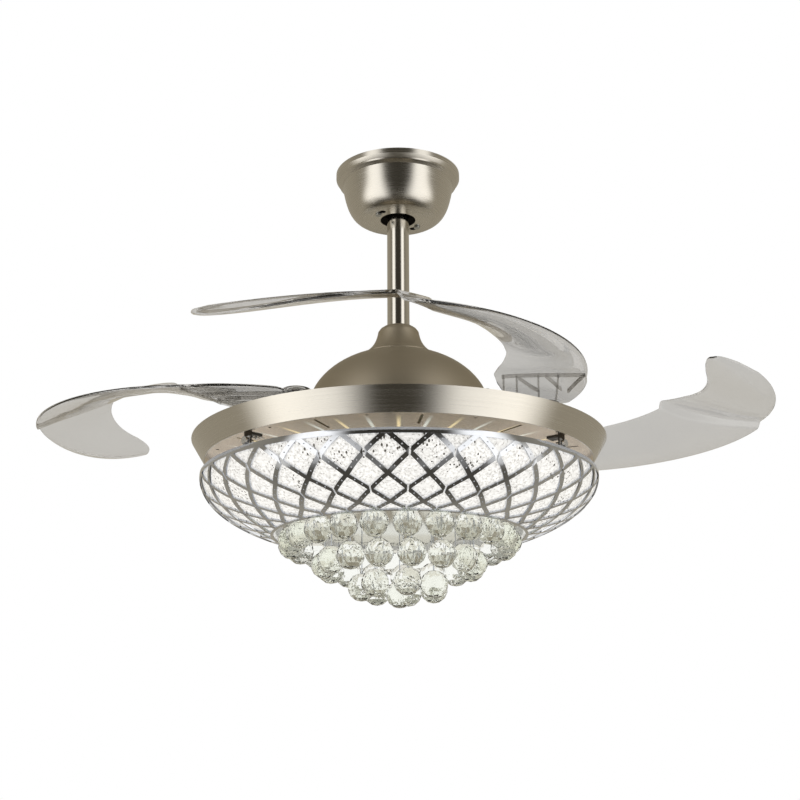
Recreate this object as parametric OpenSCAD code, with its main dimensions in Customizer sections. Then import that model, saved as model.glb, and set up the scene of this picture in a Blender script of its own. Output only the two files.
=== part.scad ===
// Ceiling fan with four retractable blades and a crystal lamp below them.
// Origin: centre of the ceiling face, +Z up, so the whole fan is below Z = 0.
// The blades are drawn swung out, each turning on its own pin on the turning tray.

/* [Canopy] */
// Radius of the canopy where it meets the ceiling
canopy_r = 76; // [72:1:90]
// Height of the canopy
canopy_h = 60; // [57:1:75]
// Radius of the canopy's flat floor
canopy_floor_r = 43; // [38:1:50]
// Radius of the hole in the canopy's floor
canopy_hole_r = 21.5; // [21:0.5:26]
// Sheet metal thickness of the canopy and the covers
sheet_t = 1.2; // [0.8:0.1:2]

/* [Bracket] */
// Length of the bracket's ceiling plate
bracket_l = 112; // [104:1:124]
// Width of the bracket
bracket_w = 44; // [40:1:50]
// Thickness of the bracket's steel
bracket_t = 2.5; // [2:0.5:4]
// Distance between the two ceiling screw slots
slot_spacing = 88.9; // [80:0.1:92]
// Width of a ceiling screw slot
slot_w = 5.5; // [4.5:0.5:7]
// Length of a ceiling screw slot, end to end
slot_l = 14; // [10:1:18]

/* [Hanger] */
// Radius of the hanger ball
ball_r = 24; // [22:0.5:26]
// Depth of the ball's centre below the ceiling
ball_drop = 27; // [26:0.5:28]
// Outer diameter of the downrod
rod_d = 26.7; // [24:0.1:28]
// Wall thickness of the downrod
rod_wall = 2; // [1.5:0.1:3]
// Length of downrod seen between the canopy and the coupling cover
rod_show = 140.7; // [100:0.1:300]

/* [Covers] */
// Height of the bell shaped coupling cover
bell_h = 38; // [36:0.5:44]
// Radius of the coupling cover's foot
bell_r = 44.5; // [42:0.5:47]
// Radius of the motor cover at its lower edge
dome_r = 107; // [104:1:110]
// Height of the motor cover
dome_h = 69; // [66:1:74]
// Number of vent slots in the motor cover
vents = 18; // [12:1:24]

/* [Motor] */
// Radius of the fixed hollow shaft
shaft_r = 10; // [9:0.5:11]
// Radius of the wire passage in the shaft
shaft_bore_r = 6; // [4:0.5:7]
// Outer radius of the motor's turning shell
rotor_r = 84; // [80:1:88]
// Height of the motor's turning shell
rotor_h = 52; // [50:1:54]
// Outer radius of the stator core
stator_r = 70; // [60:1:72]
// Outer radius of the bearings
bearing_r = 17; // [15:0.5:19]

/* [Blades] */
// Number of teeth on a full blade gear
hub_teeth = 50; // [50:2:54]
// Number of teeth on the full synchronising gear
sync_teeth = 144; // [144:4:148]
// Tooth module of both gears
gear_module = 2; // [1.9:0.05:2]
// Thickness of a blade
blade_t = 3; // [2.5:0.25:4]
// Radius of the outer edge's arc near the root
blade_arc = 219.3; // [217:0.1:222]
// Radius of the outer edge's arc near the tip
tip_arc = 287.6; // [284:0.1:291]
// Radius of the inner edge's arc near the root
inner_arc = 136.6; // [134:0.1:139]
// Radius of the inner edge's arc near the tip
inner_tip_arc = 176.6; // [174:0.1:179]
// Rise of a blade per millimetre from its outer edge to its inner edge
blade_slope = 0.355; // [0.34:0.005:0.37]
// Height of the raised step across each blade
step_rise = 7; // [6:0.5:8]
// Angle that a blade swings through when it folds
fold_angle = 58; // [50:1:58]
// Radius of a blade's pivot pin
pin_r = 5; // [4:0.25:5.5]

/* [Tray] */
// Radius of the turning tray that carries the blades
tray_r = 212; // [210:1:222]
// Thickness of the turning tray
tray_t = 2.5; // [2:0.25:3]

/* [Lamp body] */
// Radius of the ring at its top edge
ring_r = 240; // [236:1:250]
// How far the ring narrows towards its lower edge
ring_taper = 15; // [10:0.5:17]
// Height of the ring
ring_h = 25; // [24:0.5:34]
// Number of radial slots in the under plate
plate_slots = 12; // [8:4:16]
// Number of light emitting chips on the outer ring of the board
chips = 36; // [12:2:48]

/* [Shade] */
// How far the bowl's lattice stays inside the ring's top edge
bowl_margin = 10.8; // [8:0.1:14]
// Depth that the bowl would have if it ran on to its lowest point
bowl_depth = 82.2; // [78:0.1:88]
// Wall thickness of the bowl
bowl_t = 2.5; // [2:0.25:4]
// Number of lattice columns around the bowl
columns = 30; // [24:2:36]
// Width of a lattice strip
strip_w = 5; // [4.4:0.1:5.4]
// Thickness of a lattice strip
strip_t = 1.6; // [1:0.1:2]

/* [Crystals] */
// Radius of a crystal ball
crystal_r = 16; // [14:0.25:16.25]
// Number of balls in the outer ring
outer_balls = 22; // [16:1:22]
// Number of balls in the middle ring
middle_balls = 15; // [10:1:15]
// Number of balls in the inner ring
inner_balls = 7; // [4:1:7]

/* [Hidden] */

blade_count = 4;
// Gap of a running fit, of two parts that face each other, and of a loose hole
run_gap = 0.05;
seat_gap = 0.3;
slip_gap = 0.15;
fine = 96;
eps = 0.01;

steel = [0.62, 0.60, 0.56];
dark_steel = [0.35, 0.34, 0.32];
nickel = [0.60, 0.57, 0.50];
zinc = [0.72, 0.72, 0.70];
brass_tint = [0.80, 0.72, 0.58];
smoke = [0.62, 0.61, 0.60, 0.75];
copper = [0.72, 0.42, 0.22];
black = [0.12, 0.12, 0.12];
white = [0.93, 0.93, 0.92];
clear = [0.80, 0.84, 0.80, 0.6];
glass = [0.95, 0.96, 0.97, 0.8];

// Heights below the ceiling, each worked out from the one above it
bell_top_z = -canopy_h - rod_show;
dome_top_z = bell_top_z - bell_h;
// The motor cover's lower edge stands this far above the ring's top edge
dome_clear = 38;
lamp_z = dome_top_z - dome_h - dome_clear;

// From here on heights are measured from the ring's top edge
dome_top = dome_clear + dome_h;
bell_top = dome_top + bell_h;
tray_z = 4;
tray_top = tray_z + tray_t;
base_t = 2.5;
flange_t = 2.5;
base_top = tray_top + base_t;
flange_top = base_top + flange_t;
flange_r = rotor_r + 14;
gear_t = 3;
gear_z = tray_top + seat_gap;
gear_top = gear_z + gear_t;

module at_lamp() translate([0, 0, lamp_z]) children();
module around(n, start = 0) for (i = [0:n - 1]) rotate([0, 0, start + i * 360 / n]) children();
module tube(r_out, r_in, z0, z1, f = fine) translate([0, 0, z0]) difference() {
    cylinder(r = r_out, h = z1 - z0, $fn = f);
    translate([0, 0, -1]) cylinder(r = r_in, h = z1 - z0 + 2, $fn = f);
}
module rod(r, z0, z1, f = 48) translate([0, 0, z0]) cylinder(r = r, h = z1 - z0, $fn = f);

function lerp(a, b, t) = a + (b - a) * t;
function bezier(p, t) = pow(1 - t, 3) * p[0] + 3 * t * pow(1 - t, 2) * p[1]
    + 3 * t * t * (1 - t) * p[2] + pow(t, 3) * p[3];
function curve(p, n) = [for (i = [0:n]) bezier(p, i / n)];
function back(list) = [for (i = [len(list) - 1:-1:0]) list[i]];
function inward(list, d) = [for (p = list) [p[0] - d, p[1]]];

/* ---- Ceiling mount ---- */
arm_x = 33;
seat_r = ball_r + 6;
seat_top = -ball_drop - 4;
shelf_top = -ball_drop - 17;
shelf_bottom = shelf_top - bracket_t;
// The two screws that carry the canopy stand on a diagonal of the bracket's shelf
canopy_screw_r = 30.3;
canopy_screw_az = 219;

module ceiling_bracket() color(steel) difference() {
    union() {
        translate([-bracket_l / 2, -bracket_w / 2, -bracket_t]) cube([bracket_l, bracket_w, bracket_t]);
        for (s = [0, 1]) mirror([s, 0, 0]) {
            translate([arm_x, -bracket_w / 2, shelf_bottom])
                cube([bracket_t, bracket_w, -shelf_bottom - bracket_t / 2]);
        }
        translate([-arm_x - eps, -bracket_w / 2, shelf_bottom])
            cube([2 * arm_x + 2 * eps, bracket_w, bracket_t]);
    }
    for (s = [-1, 1], e = [-1, 1])
        translate([s * slot_spacing / 2 + e * (slot_l - slot_w) / 2, 0, 0])
            rod(slot_w / 2, -bracket_t - 1, 1, 32);
    for (s = [-1, 1]) translate([s * slot_spacing / 2 - (slot_l - slot_w) / 2, -slot_w / 2, -bracket_t - 1])
        cube([slot_l - slot_w, slot_w, bracket_t + 2]);
    // wires come down through the middle of the ceiling plate
    rod(12, -bracket_t - 1, 1);
    rod(seat_r - 7, shelf_bottom - 1, shelf_top + 1);
    around(2, canopy_screw_az) translate([canopy_screw_r, 0, 0])
        rod(1.9 + slip_gap, shelf_bottom - 1, shelf_top + 1, 24);
}

module ball_seat() color(black) difference() {
    rod(seat_r, shelf_top, seat_top, fine);
    translate([0, 0, -ball_drop]) sphere(r = ball_r + seat_gap, $fn = fine);
    rod(seat_r - 10, shelf_top - 1, seat_top + 1, fine);
    around(2, canopy_screw_az) translate([canopy_screw_r, 0, 0])
        rod(3.8, shelf_top - 1, seat_top + 1, 24);
}

// Outline of the canopy from the ceiling down to its floor
lip_h = 6;
canopy_wall = concat(
    [[canopy_r, 0], [canopy_r, -lip_h], [canopy_r - 1.5, -lip_h - 2], [canopy_r - 3.5, -lip_h - 4],
     [canopy_r - 3.5, -lip_h - 6], [canopy_r - 8, -lip_h - 9]],
    curve([[canopy_r - 8.5, -lip_h - 13], [canopy_r - 11, -lip_h - 24],
           [canopy_r - 14, -canopy_h + 5], [canopy_floor_r + 3, -canopy_h]], 14),
    [[canopy_floor_r, -canopy_h]]);

module canopy() color(nickel) difference() {
    rotate_extrude($fn = fine) polygon(concat(canopy_wall, [[0, -canopy_h], [0, -canopy_h + sheet_t],
        [canopy_floor_r, -canopy_h + sheet_t]],
        [for (i = [len(canopy_wall) - 2:-1:0]) [canopy_wall[i][0] - sheet_t,
            min(0, canopy_wall[i][1] + (i > 5 ? sheet_t * 0.7 : 0))]]));
    rod(canopy_hole_r, -canopy_h - 1, -canopy_h + sheet_t + 1, fine);
    // keyhole slots that drop over the two screw heads and turn to lock
    around(2, canopy_screw_az) {
        translate([canopy_screw_r, 0, 0]) rod(1.9 + seat_gap, -canopy_h - 1, -canopy_h + sheet_t + 1, 24);
        translate([canopy_screw_r - 2.2, 0, -canopy_h - 1]) cube([4.4, 8, sheet_t + 2]);
        translate([canopy_screw_r, 8, 0]) rod(4, -canopy_h - 1, -canopy_h + sheet_t + 1, 24);
    }
}

module canopy_screws() color(zinc) around(2, canopy_screw_az) translate([canopy_screw_r, 0, 0]) {
    rod(1.9, -canopy_h - seat_gap - eps, shelf_top, 24);
    rod(3.6, -canopy_h - seat_gap - 1.8, -canopy_h - seat_gap, 24);
    // washer head above the shelf carries the screw
    rod(3.4, shelf_top, shelf_top + 2, 24);
}

module remote_receiver() color(black) translate([arm_x + bracket_t, -19, -34]) difference() {
    cube([18, 38, 24]);
    translate([3, -1, 20]) cube([12, 40, 5]);
}

/* ---- Hanger ball, downrod and yoke ---- */
rod_r = rod_d / 2;
rod_top_z = -ball_drop + ball_r - 6;
yoke_r = rod_r + 5.2;
yoke_bottom = dome_top - 5.5;
web_bottom = yoke_bottom + 6.5;
web_top = web_bottom + 4;
yoke_top = bell_top - 7;
yoke_pin_z = web_top + 10;
set_screw_z = yoke_top - 8;

module hanger_ball() color(dark_steel) translate([0, 0, -ball_drop]) difference() {
    intersection() {
        sphere(r = ball_r, $fn = fine);
        rod(ball_r + 1, -ball_r + 2, ball_r - 6, fine);
    }
    rod(rod_r + slip_gap, -ball_r - 1, ball_r + 1, fine);
    translate([-ball_r - 1, 0, 0]) rotate([0, 90, 0])
        cylinder(r = 3.5 + slip_gap, h = 2 * ball_r + 2, $fn = 32);
}

module hanger_pin() color(zinc) translate([-ball_r + 1.5, 0, -ball_drop]) rotate([0, 90, 0])
    cylinder(r = 3.5, h = 2 * ball_r - 3, $fn = 32);

module downrod() color(nickel) difference() {
    tube(rod_r, rod_r - rod_wall, lamp_z + web_top, rod_top_z);
    translate([-rod_d, 0, -ball_drop]) rotate([0, 90, 0])
        cylinder(r = 3.5 + slip_gap, h = 2 * rod_d, $fn = 32);
    translate([0, rod_d, lamp_z + yoke_pin_z]) rotate([90, 0, 0])
        cylinder(r = 3 + slip_gap, h = 2 * rod_d, $fn = 32);
}

module motor_yoke() at_lamp() color(dark_steel) difference() {
    union() {
        rod(yoke_r, yoke_bottom, yoke_top, fine);
        rod(bell_r - 6, yoke_bottom, yoke_bottom + 4, fine);
    }
    rod(rod_r + slip_gap, web_top, yoke_top + 1, fine);
    rod(shaft_r + slip_gap, yoke_bottom - 1, web_bottom, fine);
    rod(shaft_bore_r, web_bottom - 1, web_top + 1);
    translate([0, rod_d, yoke_pin_z]) rotate([90, 0, 0]) cylinder(r = 3 + slip_gap, h = 2 * rod_d, $fn = 32);
    for (s = [0, 180]) rotate([0, 0, s]) translate([rod_r - 1, 0, set_screw_z]) rotate([0, 90, 0])
        cylinder(r = 2.5 + slip_gap, h = 10, $fn = 24);
    around(4, 45) translate([bell_r - 13, 0, 0]) rod(2, yoke_bottom - 1, yoke_bottom + 5, 24);
}

module yoke_pin() at_lamp() color(zinc) translate([0, yoke_r + 3, yoke_pin_z]) rotate([90, 0, 0]) {
    cylinder(r = 3, h = 2 * yoke_r + 5, $fn = 32);
    cylinder(r = 4.6, h = 2.5, $fn = 32);
}

module yoke_set_screws() at_lamp() color(zinc) for (s = [0, 180]) rotate([0, 0, s])
    translate([rod_r, 0, set_screw_z]) rotate([0, 90, 0]) {
        cylinder(r = 2.5, h = 6, $fn = 24);
        translate([0, 0, yoke_r - rod_r + eps]) cylinder(r = 3.4, h = 1.6, $fn = 6);
    }

/* ---- Covers ---- */
bell_side = concat([[rod_r + 5, bell_top], [rod_r + 8.5, bell_top - 2.5]],
    curve([[rod_r + 11, bell_top - 6], [rod_r + 13, bell_top - 18],
           [bell_r - 14, dome_top + 11], [bell_r, dome_top + 1.5]], 14),
    [[bell_r, dome_top]]);

module coupling_cover() at_lamp() color(nickel) difference() {
    rotate_extrude($fn = fine) polygon(concat([[0, bell_top]], bell_side,
        [for (p = back(bell_side)) [p[0] - sheet_t, max(dome_top, p[1] - sheet_t)]],
        [[0, bell_top - sheet_t]]));
    rod(rod_r + slip_gap, dome_top - 1, bell_top + 1, fine);
}

// The motor cover is a quarter ellipse that ends in a flat top and a short straight skirt
dome_b = dome_h + 5;
function dome_z(r) = dome_clear + 2 + dome_b * sqrt(1 - pow(r / dome_r, 2));
dome_flat_r = dome_r * sqrt(1 - pow((dome_h - 2) / dome_b, 2));
function dome_outline(d) = concat([for (i = [0:16]) let (r = lerp(dome_flat_r, dome_r, sin(i * 90 / 16)))
    [r - d * lerp(0.5, 1, i / 16), dome_z(r) - d * lerp(1, 0, i / 16)]], [[dome_r - d, dome_clear]]);

// The vent slots start just outside the bell's foot
vent_in_r = bell_r + 9.5;
vent_l = 7;
vent_w = 3.2;
vent_depth = 14;

module motor_cover() at_lamp() color(nickel) difference() {
    rotate_extrude($fn = 144) difference() {
        polygon(concat([[0, dome_clear], [0, dome_top]], dome_outline(0)));
        polygon(concat([[-1, dome_clear - 1], [-1, dome_top - 1.5]], dome_outline(sheet_t),
            [[dome_r - sheet_t, dome_clear - 1]]));
    }
    rod(yoke_r + slip_gap, dome_clear, dome_top + 1, fine);
    around(vents) translate([vent_in_r, 0, dome_top - vent_depth]) cylinder(r = vent_w / 2, h = 20, $fn = 16);
    around(vents) translate([vent_in_r, -vent_w / 2, dome_top - vent_depth]) cube([vent_l, vent_w, 20]);
    around(vents) translate([vent_in_r + vent_l, 0, dome_top - vent_depth])
        cylinder(r = vent_w / 2, h = 20, $fn = 16);
    around(4, 45) translate([bell_r - 13, 0, 0]) rod(2 + slip_gap, dome_top - 4, dome_top + 1, 24);
}

module cover_screws() at_lamp() color(zinc) around(4, 45) translate([bell_r - 13, 0, 0]) {
    rod(1.9, yoke_bottom + 0.5, dome_top + eps, 24);
    rod(3.6, dome_top, dome_top + 1.8, 24);
}

/* ---- Motor ---- */
rotor_top = flange_top + rotor_h - 3;
bearing_h = 9;
upper_bearing_z = rotor_top - 4;
stator_z0 = flange_top + 14;
stator_z1 = stator_z0 + 22;
lid_t = 2.5;

module motor_shaft() at_lamp() color(steel) difference() {
    union() {
        rod(shaft_r, -14, web_bottom, fine);
        // shoulder under the lower bearing
        rod(shaft_r + 2.5, 3, tray_top - 0.1, fine);
    }
    rod(shaft_bore_r, -15, web_bottom + 1);
}

module stator_core() at_lamp() color(steel) difference() {
    tube(stator_r, shaft_r + slip_gap, stator_z0, stator_z1);
    around(18) translate([28, -2, stator_z0 - 1]) cube([stator_r - 32, 4, stator_z1 - stator_z0 + 2]);
    around(18) translate([stator_r - 8, -1, stator_z0 - 1]) cube([10, 2, stator_z1 - stator_z0 + 2]);
}

module winding_ring(z0) translate([0, 0, z0]) rotate_extrude($fn = fine)
    translate([(stator_r + 26) / 2, 3]) scale([1, 1]) polygon([for (a = [0:30:330])
        [(stator_r - 34) / 2 * cos(a), 3 * sin(a)]]);

module stator_windings() at_lamp() color(copper) {
    winding_ring(stator_z1);
    winding_ring(stator_z0 - 6);
}

module rotor_shell() at_lamp() color(zinc) {
    tube(rotor_r, rotor_r - lid_t, flange_top - eps, rotor_top);
    difference() {
        tube(flange_r, rotor_r - lid_t, base_top, flange_top);
        around(8, 22.5) translate([flange_r - 6, 0, 0]) rod(2, base_top - 1, flange_top + 1, 24);
    }
    tube(rotor_r - lid_t + eps, bearing_r + run_gap, rotor_top - lid_t, rotor_top);
    tube(bearing_r + 4, bearing_r + run_gap, upper_bearing_z - 5, rotor_top - lid_t + eps);
}

module rotor_base() at_lamp() color(zinc) difference() {
    union() {
        tube(flange_r, bearing_r + run_gap, tray_top, base_top);
        tube(bearing_r + 4, bearing_r + run_gap, base_top - eps, tray_top + bearing_h + 1);
    }
    around(8, 22.5) translate([flange_r - 6, 0, 0]) rod(2, tray_top - 1, base_top + 1, 24);
}

module rotor_magnets() at_lamp() color(dark_steel) difference() {
    tube(rotor_r - lid_t - slip_gap, stator_r + 1, stator_z0 - 2, stator_z1 + 2);
    around(16) translate([stator_r, -0.4, stator_z0 - 3]) cube([16, 0.8, stator_z1 - stator_z0 + 6]);
}

module bearing(z0) {
    tube(bearing_r, shaft_r + run_gap, z0, z0 + bearing_h);
}

module rotor_bearings() at_lamp() color(steel) {
    bearing(tray_top);
    bearing(upper_bearing_z - 5);
}

/* ---- Turning tray and its gear ---- */
hub_pitch_r = hub_teeth * gear_module / 2;
sync_pitch_r = sync_teeth * gear_module / 2;
pivot_r = hub_pitch_r + sync_pitch_r;
pivot_az = 56.15;
fold_ratio = hub_teeth / sync_teeth;
sync_turn = fold_angle * fold_ratio;
boss_r = 15;
boss_top = 19.2;
head_z = 16.2;
head_r = 9;
// The stops stand outside the rotor's flange, with a land of gear between
stop_r = flange_r + 14;
stop_post_r = 4;
// Round pocket in the blade's boss for the return spring
pocket_r = 8.5;
pocket_z = gear_top + 2;

module tray_holes(n, r, hole, start = 0) around(n, start) translate([r, 0, 0])
    rod(hole, tray_z - 1, tray_top + 1, 32);

module blade_tray() at_lamp() color(zinc) difference() {
    tube(tray_r, rotor_r - 24, tray_z, tray_top, 144);
    tray_holes(4, pivot_r, pin_r + slip_gap, pivot_az);
    tray_holes(8, flange_r - 6, 2, 22.5);
    tray_holes(4, stop_r, 2.5);
}

module tray_screws() at_lamp() color(steel) around(8, 22.5) translate([flange_r - 6, 0, 0]) {
    rod(1.9, tray_z - eps, flange_top, 24);
    rod(3.6, tray_z - 1.8, tray_z, 24);
}

module pivot_pins() at_lamp() color(steel) around(4, pivot_az) translate([pivot_r, 0, 0]) {
    rod(pin_r, tray_z - 3, head_z + eps, fine);
    rod(head_r, head_z, head_z + 2.5, fine);
}

module pivot_nuts() at_lamp() color(zinc) around(4, pivot_az) translate([pivot_r, 0, tray_z - 3])
    difference() {
        cylinder(r = 8, h = 3, $fn = 6);
        translate([0, 0, -1]) cylinder(r = pin_r + slip_gap, h = 5, $fn = 48);
    }

module stop_buffers() at_lamp() color(black) around(4) translate([stop_r, 0, 0]) {
    rod(stop_post_r, tray_top, gear_top + 1, 32);
    // head that keeps the gear down
    rod(stop_post_r + 2, gear_top + seat_gap, gear_top + 2, 32);
    rod(2.3, tray_z, tray_top + eps, 32);
}

function involute(a) = tan(a) * 180 / PI - a;
pressure = 20;
backlash = 0.12;
function half_tooth(n, r) = let (base = n * gear_module / 2 * cos(pressure))
    90 / n * (1 - backlash) + involute(pressure) - (r > base ? involute(acos(base / r)) : 0);
// One tooth's outline, from its left foot over the tip to its right foot, centred on angle a
function flank(n, a, side, steps) = [for (s = steps) let (
        r = (n / 2 + s) * gear_module,
        b = a + side * half_tooth(n, r))
    r * [cos(b), sin(b)]];
function tooth(n, a) = let (steps = [-0.95, -0.4, 0.2, 0.85])
    concat(flank(n, a, 1, steps), flank(n, a, -1, back(steps)));
function foot_r(n) = (n / 2 - 1.15) * gear_module;
// Teeth at every pitch from angle a0 down to a1, with the gaps between them cut to radius r
function tooth_row(n, a0, a1, r) = [for (i = [0:floor((a0 - a1) * n / 360)]) each
    concat([r * [cos(a0 - (i - 0.5) * 360 / n), sin(a0 - (i - 0.5) * 360 / n)]],
           tooth(n, a0 - i * 360 / n))];

// The gear turns this way while the blades fold, so its teeth reach further on that side
gear_margin = 7.5;

function whole_pitches(a, n) = ceil(a * n / 360) * 360 / n;

sync_foot_r = foot_r(sync_teeth);
sync_first = whole_pitches(gear_margin, sync_teeth);
sync_last = -gear_margin - sync_turn;
function arc(c, r, a0, a1, n) = [for (i = [0:n]) let (a = lerp(a0, a1, i / n)) c + r * [cos(a), sin(a)]];
function turned(list, a) = [for (p = list) [p[0] * cos(a) - p[1] * sin(a), p[0] * sin(a) + p[1] * cos(a)]];
// Four rows of teeth, joined by plain arcs
sync_outline = [for (k = [0:3]) each turned(concat(
    tooth_row(sync_teeth, sync_first, sync_last, sync_foot_r),
    arc([0, 0], sync_foot_r, sync_last - 3, sync_first - 86, 14)), pivot_az - 90 * k)];
// Curved slot that runs along a stop buffer
stop_slot_r = stop_post_r + seat_gap;
stop_slot = concat(
    arc([0, 0], stop_r + stop_slot_r, -sync_turn, 0, 8), arc([stop_r, 0], stop_slot_r, 15, 165, 8),
    arc([0, 0], stop_r - stop_slot_r, 0, -sync_turn, 8),
    arc(stop_r * [cos(sync_turn), -sin(sync_turn)], stop_slot_r, 195 - sync_turn, 345 - sync_turn, 8));

module sync_gear() at_lamp() color(black) translate([0, 0, gear_z]) difference() {
    linear_extrude(gear_t) polygon(sync_outline);
    translate([0, 0, -1]) cylinder(r = flange_r + run_gap, h = gear_t + 2, $fn = 144);
    around(4) translate([0, 0, -1]) linear_extrude(gear_t + 2) polygon(stop_slot);
}

// A coil spring around each pivot pin folds the blade when the fan slows down
coils = 2;
coil_steps = 14;
wire_r = 0.6;
coil_r = pin_r + 2;
coil_end = pin_r + wire_r + 0.2;
coil_rise = head_z - pocket_z - 2 * wire_r - 2 * seat_gap;
function coil_point(i) = let (t = i / (coils * coil_steps),
        r = i == 0 || i == coils * coil_steps ? coil_end : coil_r)
    [r * cos(i * 360 / coil_steps), r * sin(i * 360 / coil_steps), t * coil_rise];
function unit(v) = v / norm(v);

module swept(path, r, sides = 5) {
    n = len(path);
    points = [for (i = [0:n - 1]) let (
            d = unit(path[min(i + 1, n - 1)] - path[max(i - 1, 0)]),
            side = unit(cross(d, abs(d[2]) > 0.9 ? [1, 0, 0] : [0, 0, 1])),
            up = cross(side, d))
        for (k = [0:sides - 1]) path[i] + r * (cos(k * 360 / sides) * side + sin(k * 360 / sides) * up)];
    faces = concat([[for (k = [sides - 1:-1:0]) k]], [[for (k = [0:sides - 1]) (n - 1) * sides + k]],
        [for (i = [0:n - 2]) for (k = [0:sides - 1]) let (m = (k + 1) % sides) each
            [[i * sides + k, i * sides + m, (i + 1) * sides + k],
             [i * sides + m, (i + 1) * sides + m, (i + 1) * sides + k]]]);
    polyhedron(points, faces);
}

module return_springs() at_lamp() color(steel) around(4, pivot_az)
    translate([pivot_r, 0, pocket_z + wire_r + seat_gap])
        swept([for (i = [0:coils * coil_steps]) coil_point(i)], wire_r);

/* ---- Blades ---- */
// Each blade is a crescent drawn in polar angles about its own centre
blade_centre = [200, -10];
pivot_point = pivot_r * [cos(pivot_az), sin(pivot_az)];
edge_z = 14.5;
twist = 0.075;
tip_slope = 0.33;
tip_slope_end = 0.36;
tip_full_r = 225;

// Distance from the blade's centre to a circle of radius r about point c, along angle a
function reach(c, r, a) = let (u = c[0] * cos(a) + c[1] * sin(a), v = c[1] * cos(a) - c[0] * sin(a))
    u + sqrt(r * r - v * v);
// Share of the way from the step to the tip
function tip_share(a) = max(0, 4 - a) / 62;
// Both edges of the root leave their arcs where the blade flares towards its pivot
outer_flare = [[85, 0], [92, 3], [110, 6]];
inner_flare = [[60, -0.5], [66, 1], [70, 4], [74, 5], [78, 1], [82, -4], [86, -8], [91, -11], [93, -12]];
// Slope and sag of the root's cross section, as angle and value
slope_share = [[60, 1], [66, 0.98], [70, 0.885], [74, 0.72], [78, 0.52], [82, 0.4], [91, 0.31], [95, 0.245],
    [100, 0.15]];
sag = [[5, 12], [25, 28], [60, 32], [75, 16], [85, 0]];
function outer_edge(a, tip) = tip ? reach([-62, -17], tip_arc, a) - 36 * pow(tip_share(a), 6)
    : reach([6, -17], blade_arc, a) + lookup(a, outer_flare);
function root_line(a) = 102.4 / cos(a - 73.4);
function inner_edge(a, tip) = tip
    ? reach([-30, -44], inner_tip_arc, a) - 9 * pow(max(0, (a + 12) / 30), 2) + 24.7 * pow(tip_share(a), 6)
    : a < 93 ? reach([-9, -16], inner_arc, a) + lookup(a, inner_flare) : root_line(a);
function step_start(v) = lerp(23, 5, v);
function step_end(v) = lerp(18, 1.5, v);
function root_end(v) = 124 - 13 * pow(v, 3);
function tip_end(v) = -54.1 - 2.1 * (v - 0.5) + lerp(2.4, 10.8, v) * pow(abs(2 * v - 1), 5);
function tip_rise(s) = -10.5 * s + 10 * s * s + 22.5 * pow(s, 5);
function sheet_z(rho, a, tip) = let (
        out = outer_edge(a, tip),
        t = (out - rho) / (out - inner_edge(a, tip)))
    tip ? edge_z + twist * 80 + step_rise + 0.02 * (1.5 - a) + tip_rise(tip_share(a)) - 10 * t * (1 - t)
        + lerp(tip_slope, tip_slope_end, max(0, (18 - a) / 72)) * max(0, tip_full_r - rho)
    : edge_z + twist * max(0, 85 - a) + blade_slope * lookup(a, slope_share) * (out - rho)
        - lookup(a, sag) * t * (1 - t);
root_cols = 26;
tip_cols = 14;
rows = 6;
function sheet_point(i, v) = let (
        tip = i > root_cols,
        a = tip ? lerp(step_end(v), tip_end(v), (i - root_cols - 1) / tip_cols)
                : lerp(root_end(v), step_start(v), i / root_cols),
        rho = lerp(inner_edge(a, tip), outer_edge(a, tip), v))
    [blade_centre[0] + rho * cos(a), blade_centre[1] + rho * sin(a), sheet_z(rho, a, tip)];
// Height of the sheet at a plan point of its root part
function root_z(p) = let (d = p - blade_centre, a = atan2(d[1], d[0])) sheet_z(norm(d), a, false);

module blade_sheet() {
    cols = root_cols + tip_cols + 2;
    w = rows + 1;
    layer = cols * w;
    points = [for (s = [1, -1]) for (i = [0:cols - 1]) for (j = [0:rows])
        sheet_point(i, j / rows) + [0, 0, s * blade_t / 2]];
    function up(i, j) = i * w + j;
    function low(i, j) = layer + i * w + j;
    faces = concat(
        [for (i = [0:cols - 2]) for (j = [0:rows - 1]) each
            [[up(i, j), up(i, j + 1), up(i + 1, j)], [up(i, j + 1), up(i + 1, j + 1), up(i + 1, j)],
             [low(i, j), low(i + 1, j), low(i, j + 1)], [low(i, j + 1), low(i + 1, j), low(i + 1, j + 1)]]],
        [for (i = [0:cols - 2]) each
            [[up(i, 0), up(i + 1, 0), low(i, 0)], [up(i + 1, 0), low(i + 1, 0), low(i, 0)],
             [up(i, rows), low(i, rows), up(i + 1, rows)],
             [up(i + 1, rows), low(i, rows), low(i + 1, rows)]]],
        [for (j = [0:rows - 1]) each
            [[up(0, j), low(0, j), up(0, j + 1)], [up(0, j + 1), low(0, j), low(0, j + 1)],
             [up(cols - 1, j), up(cols - 1, j + 1), low(cols - 1, j)],
             [up(cols - 1, j + 1), low(cols - 1, j + 1), low(cols - 1, j)]]]);
    polyhedron(points, faces);
}

// Stiffening ribs under the root, from point to point in plan
ribs = [[[195.4, 107], [227, 189]], [[195.5, 108.5], [165, 111]], [[197.3, 122], [137, 127]],
        [[205, 143.6], [122, 152]], [[213.3, 163], [120, 170]], [[195.4, 124.6], [169, 146.5]],
        [[208.8, 151], [175.6, 170]], [[226, 188], [170, 178]]];
rib_t = 2;
rib_h = 4;

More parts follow.
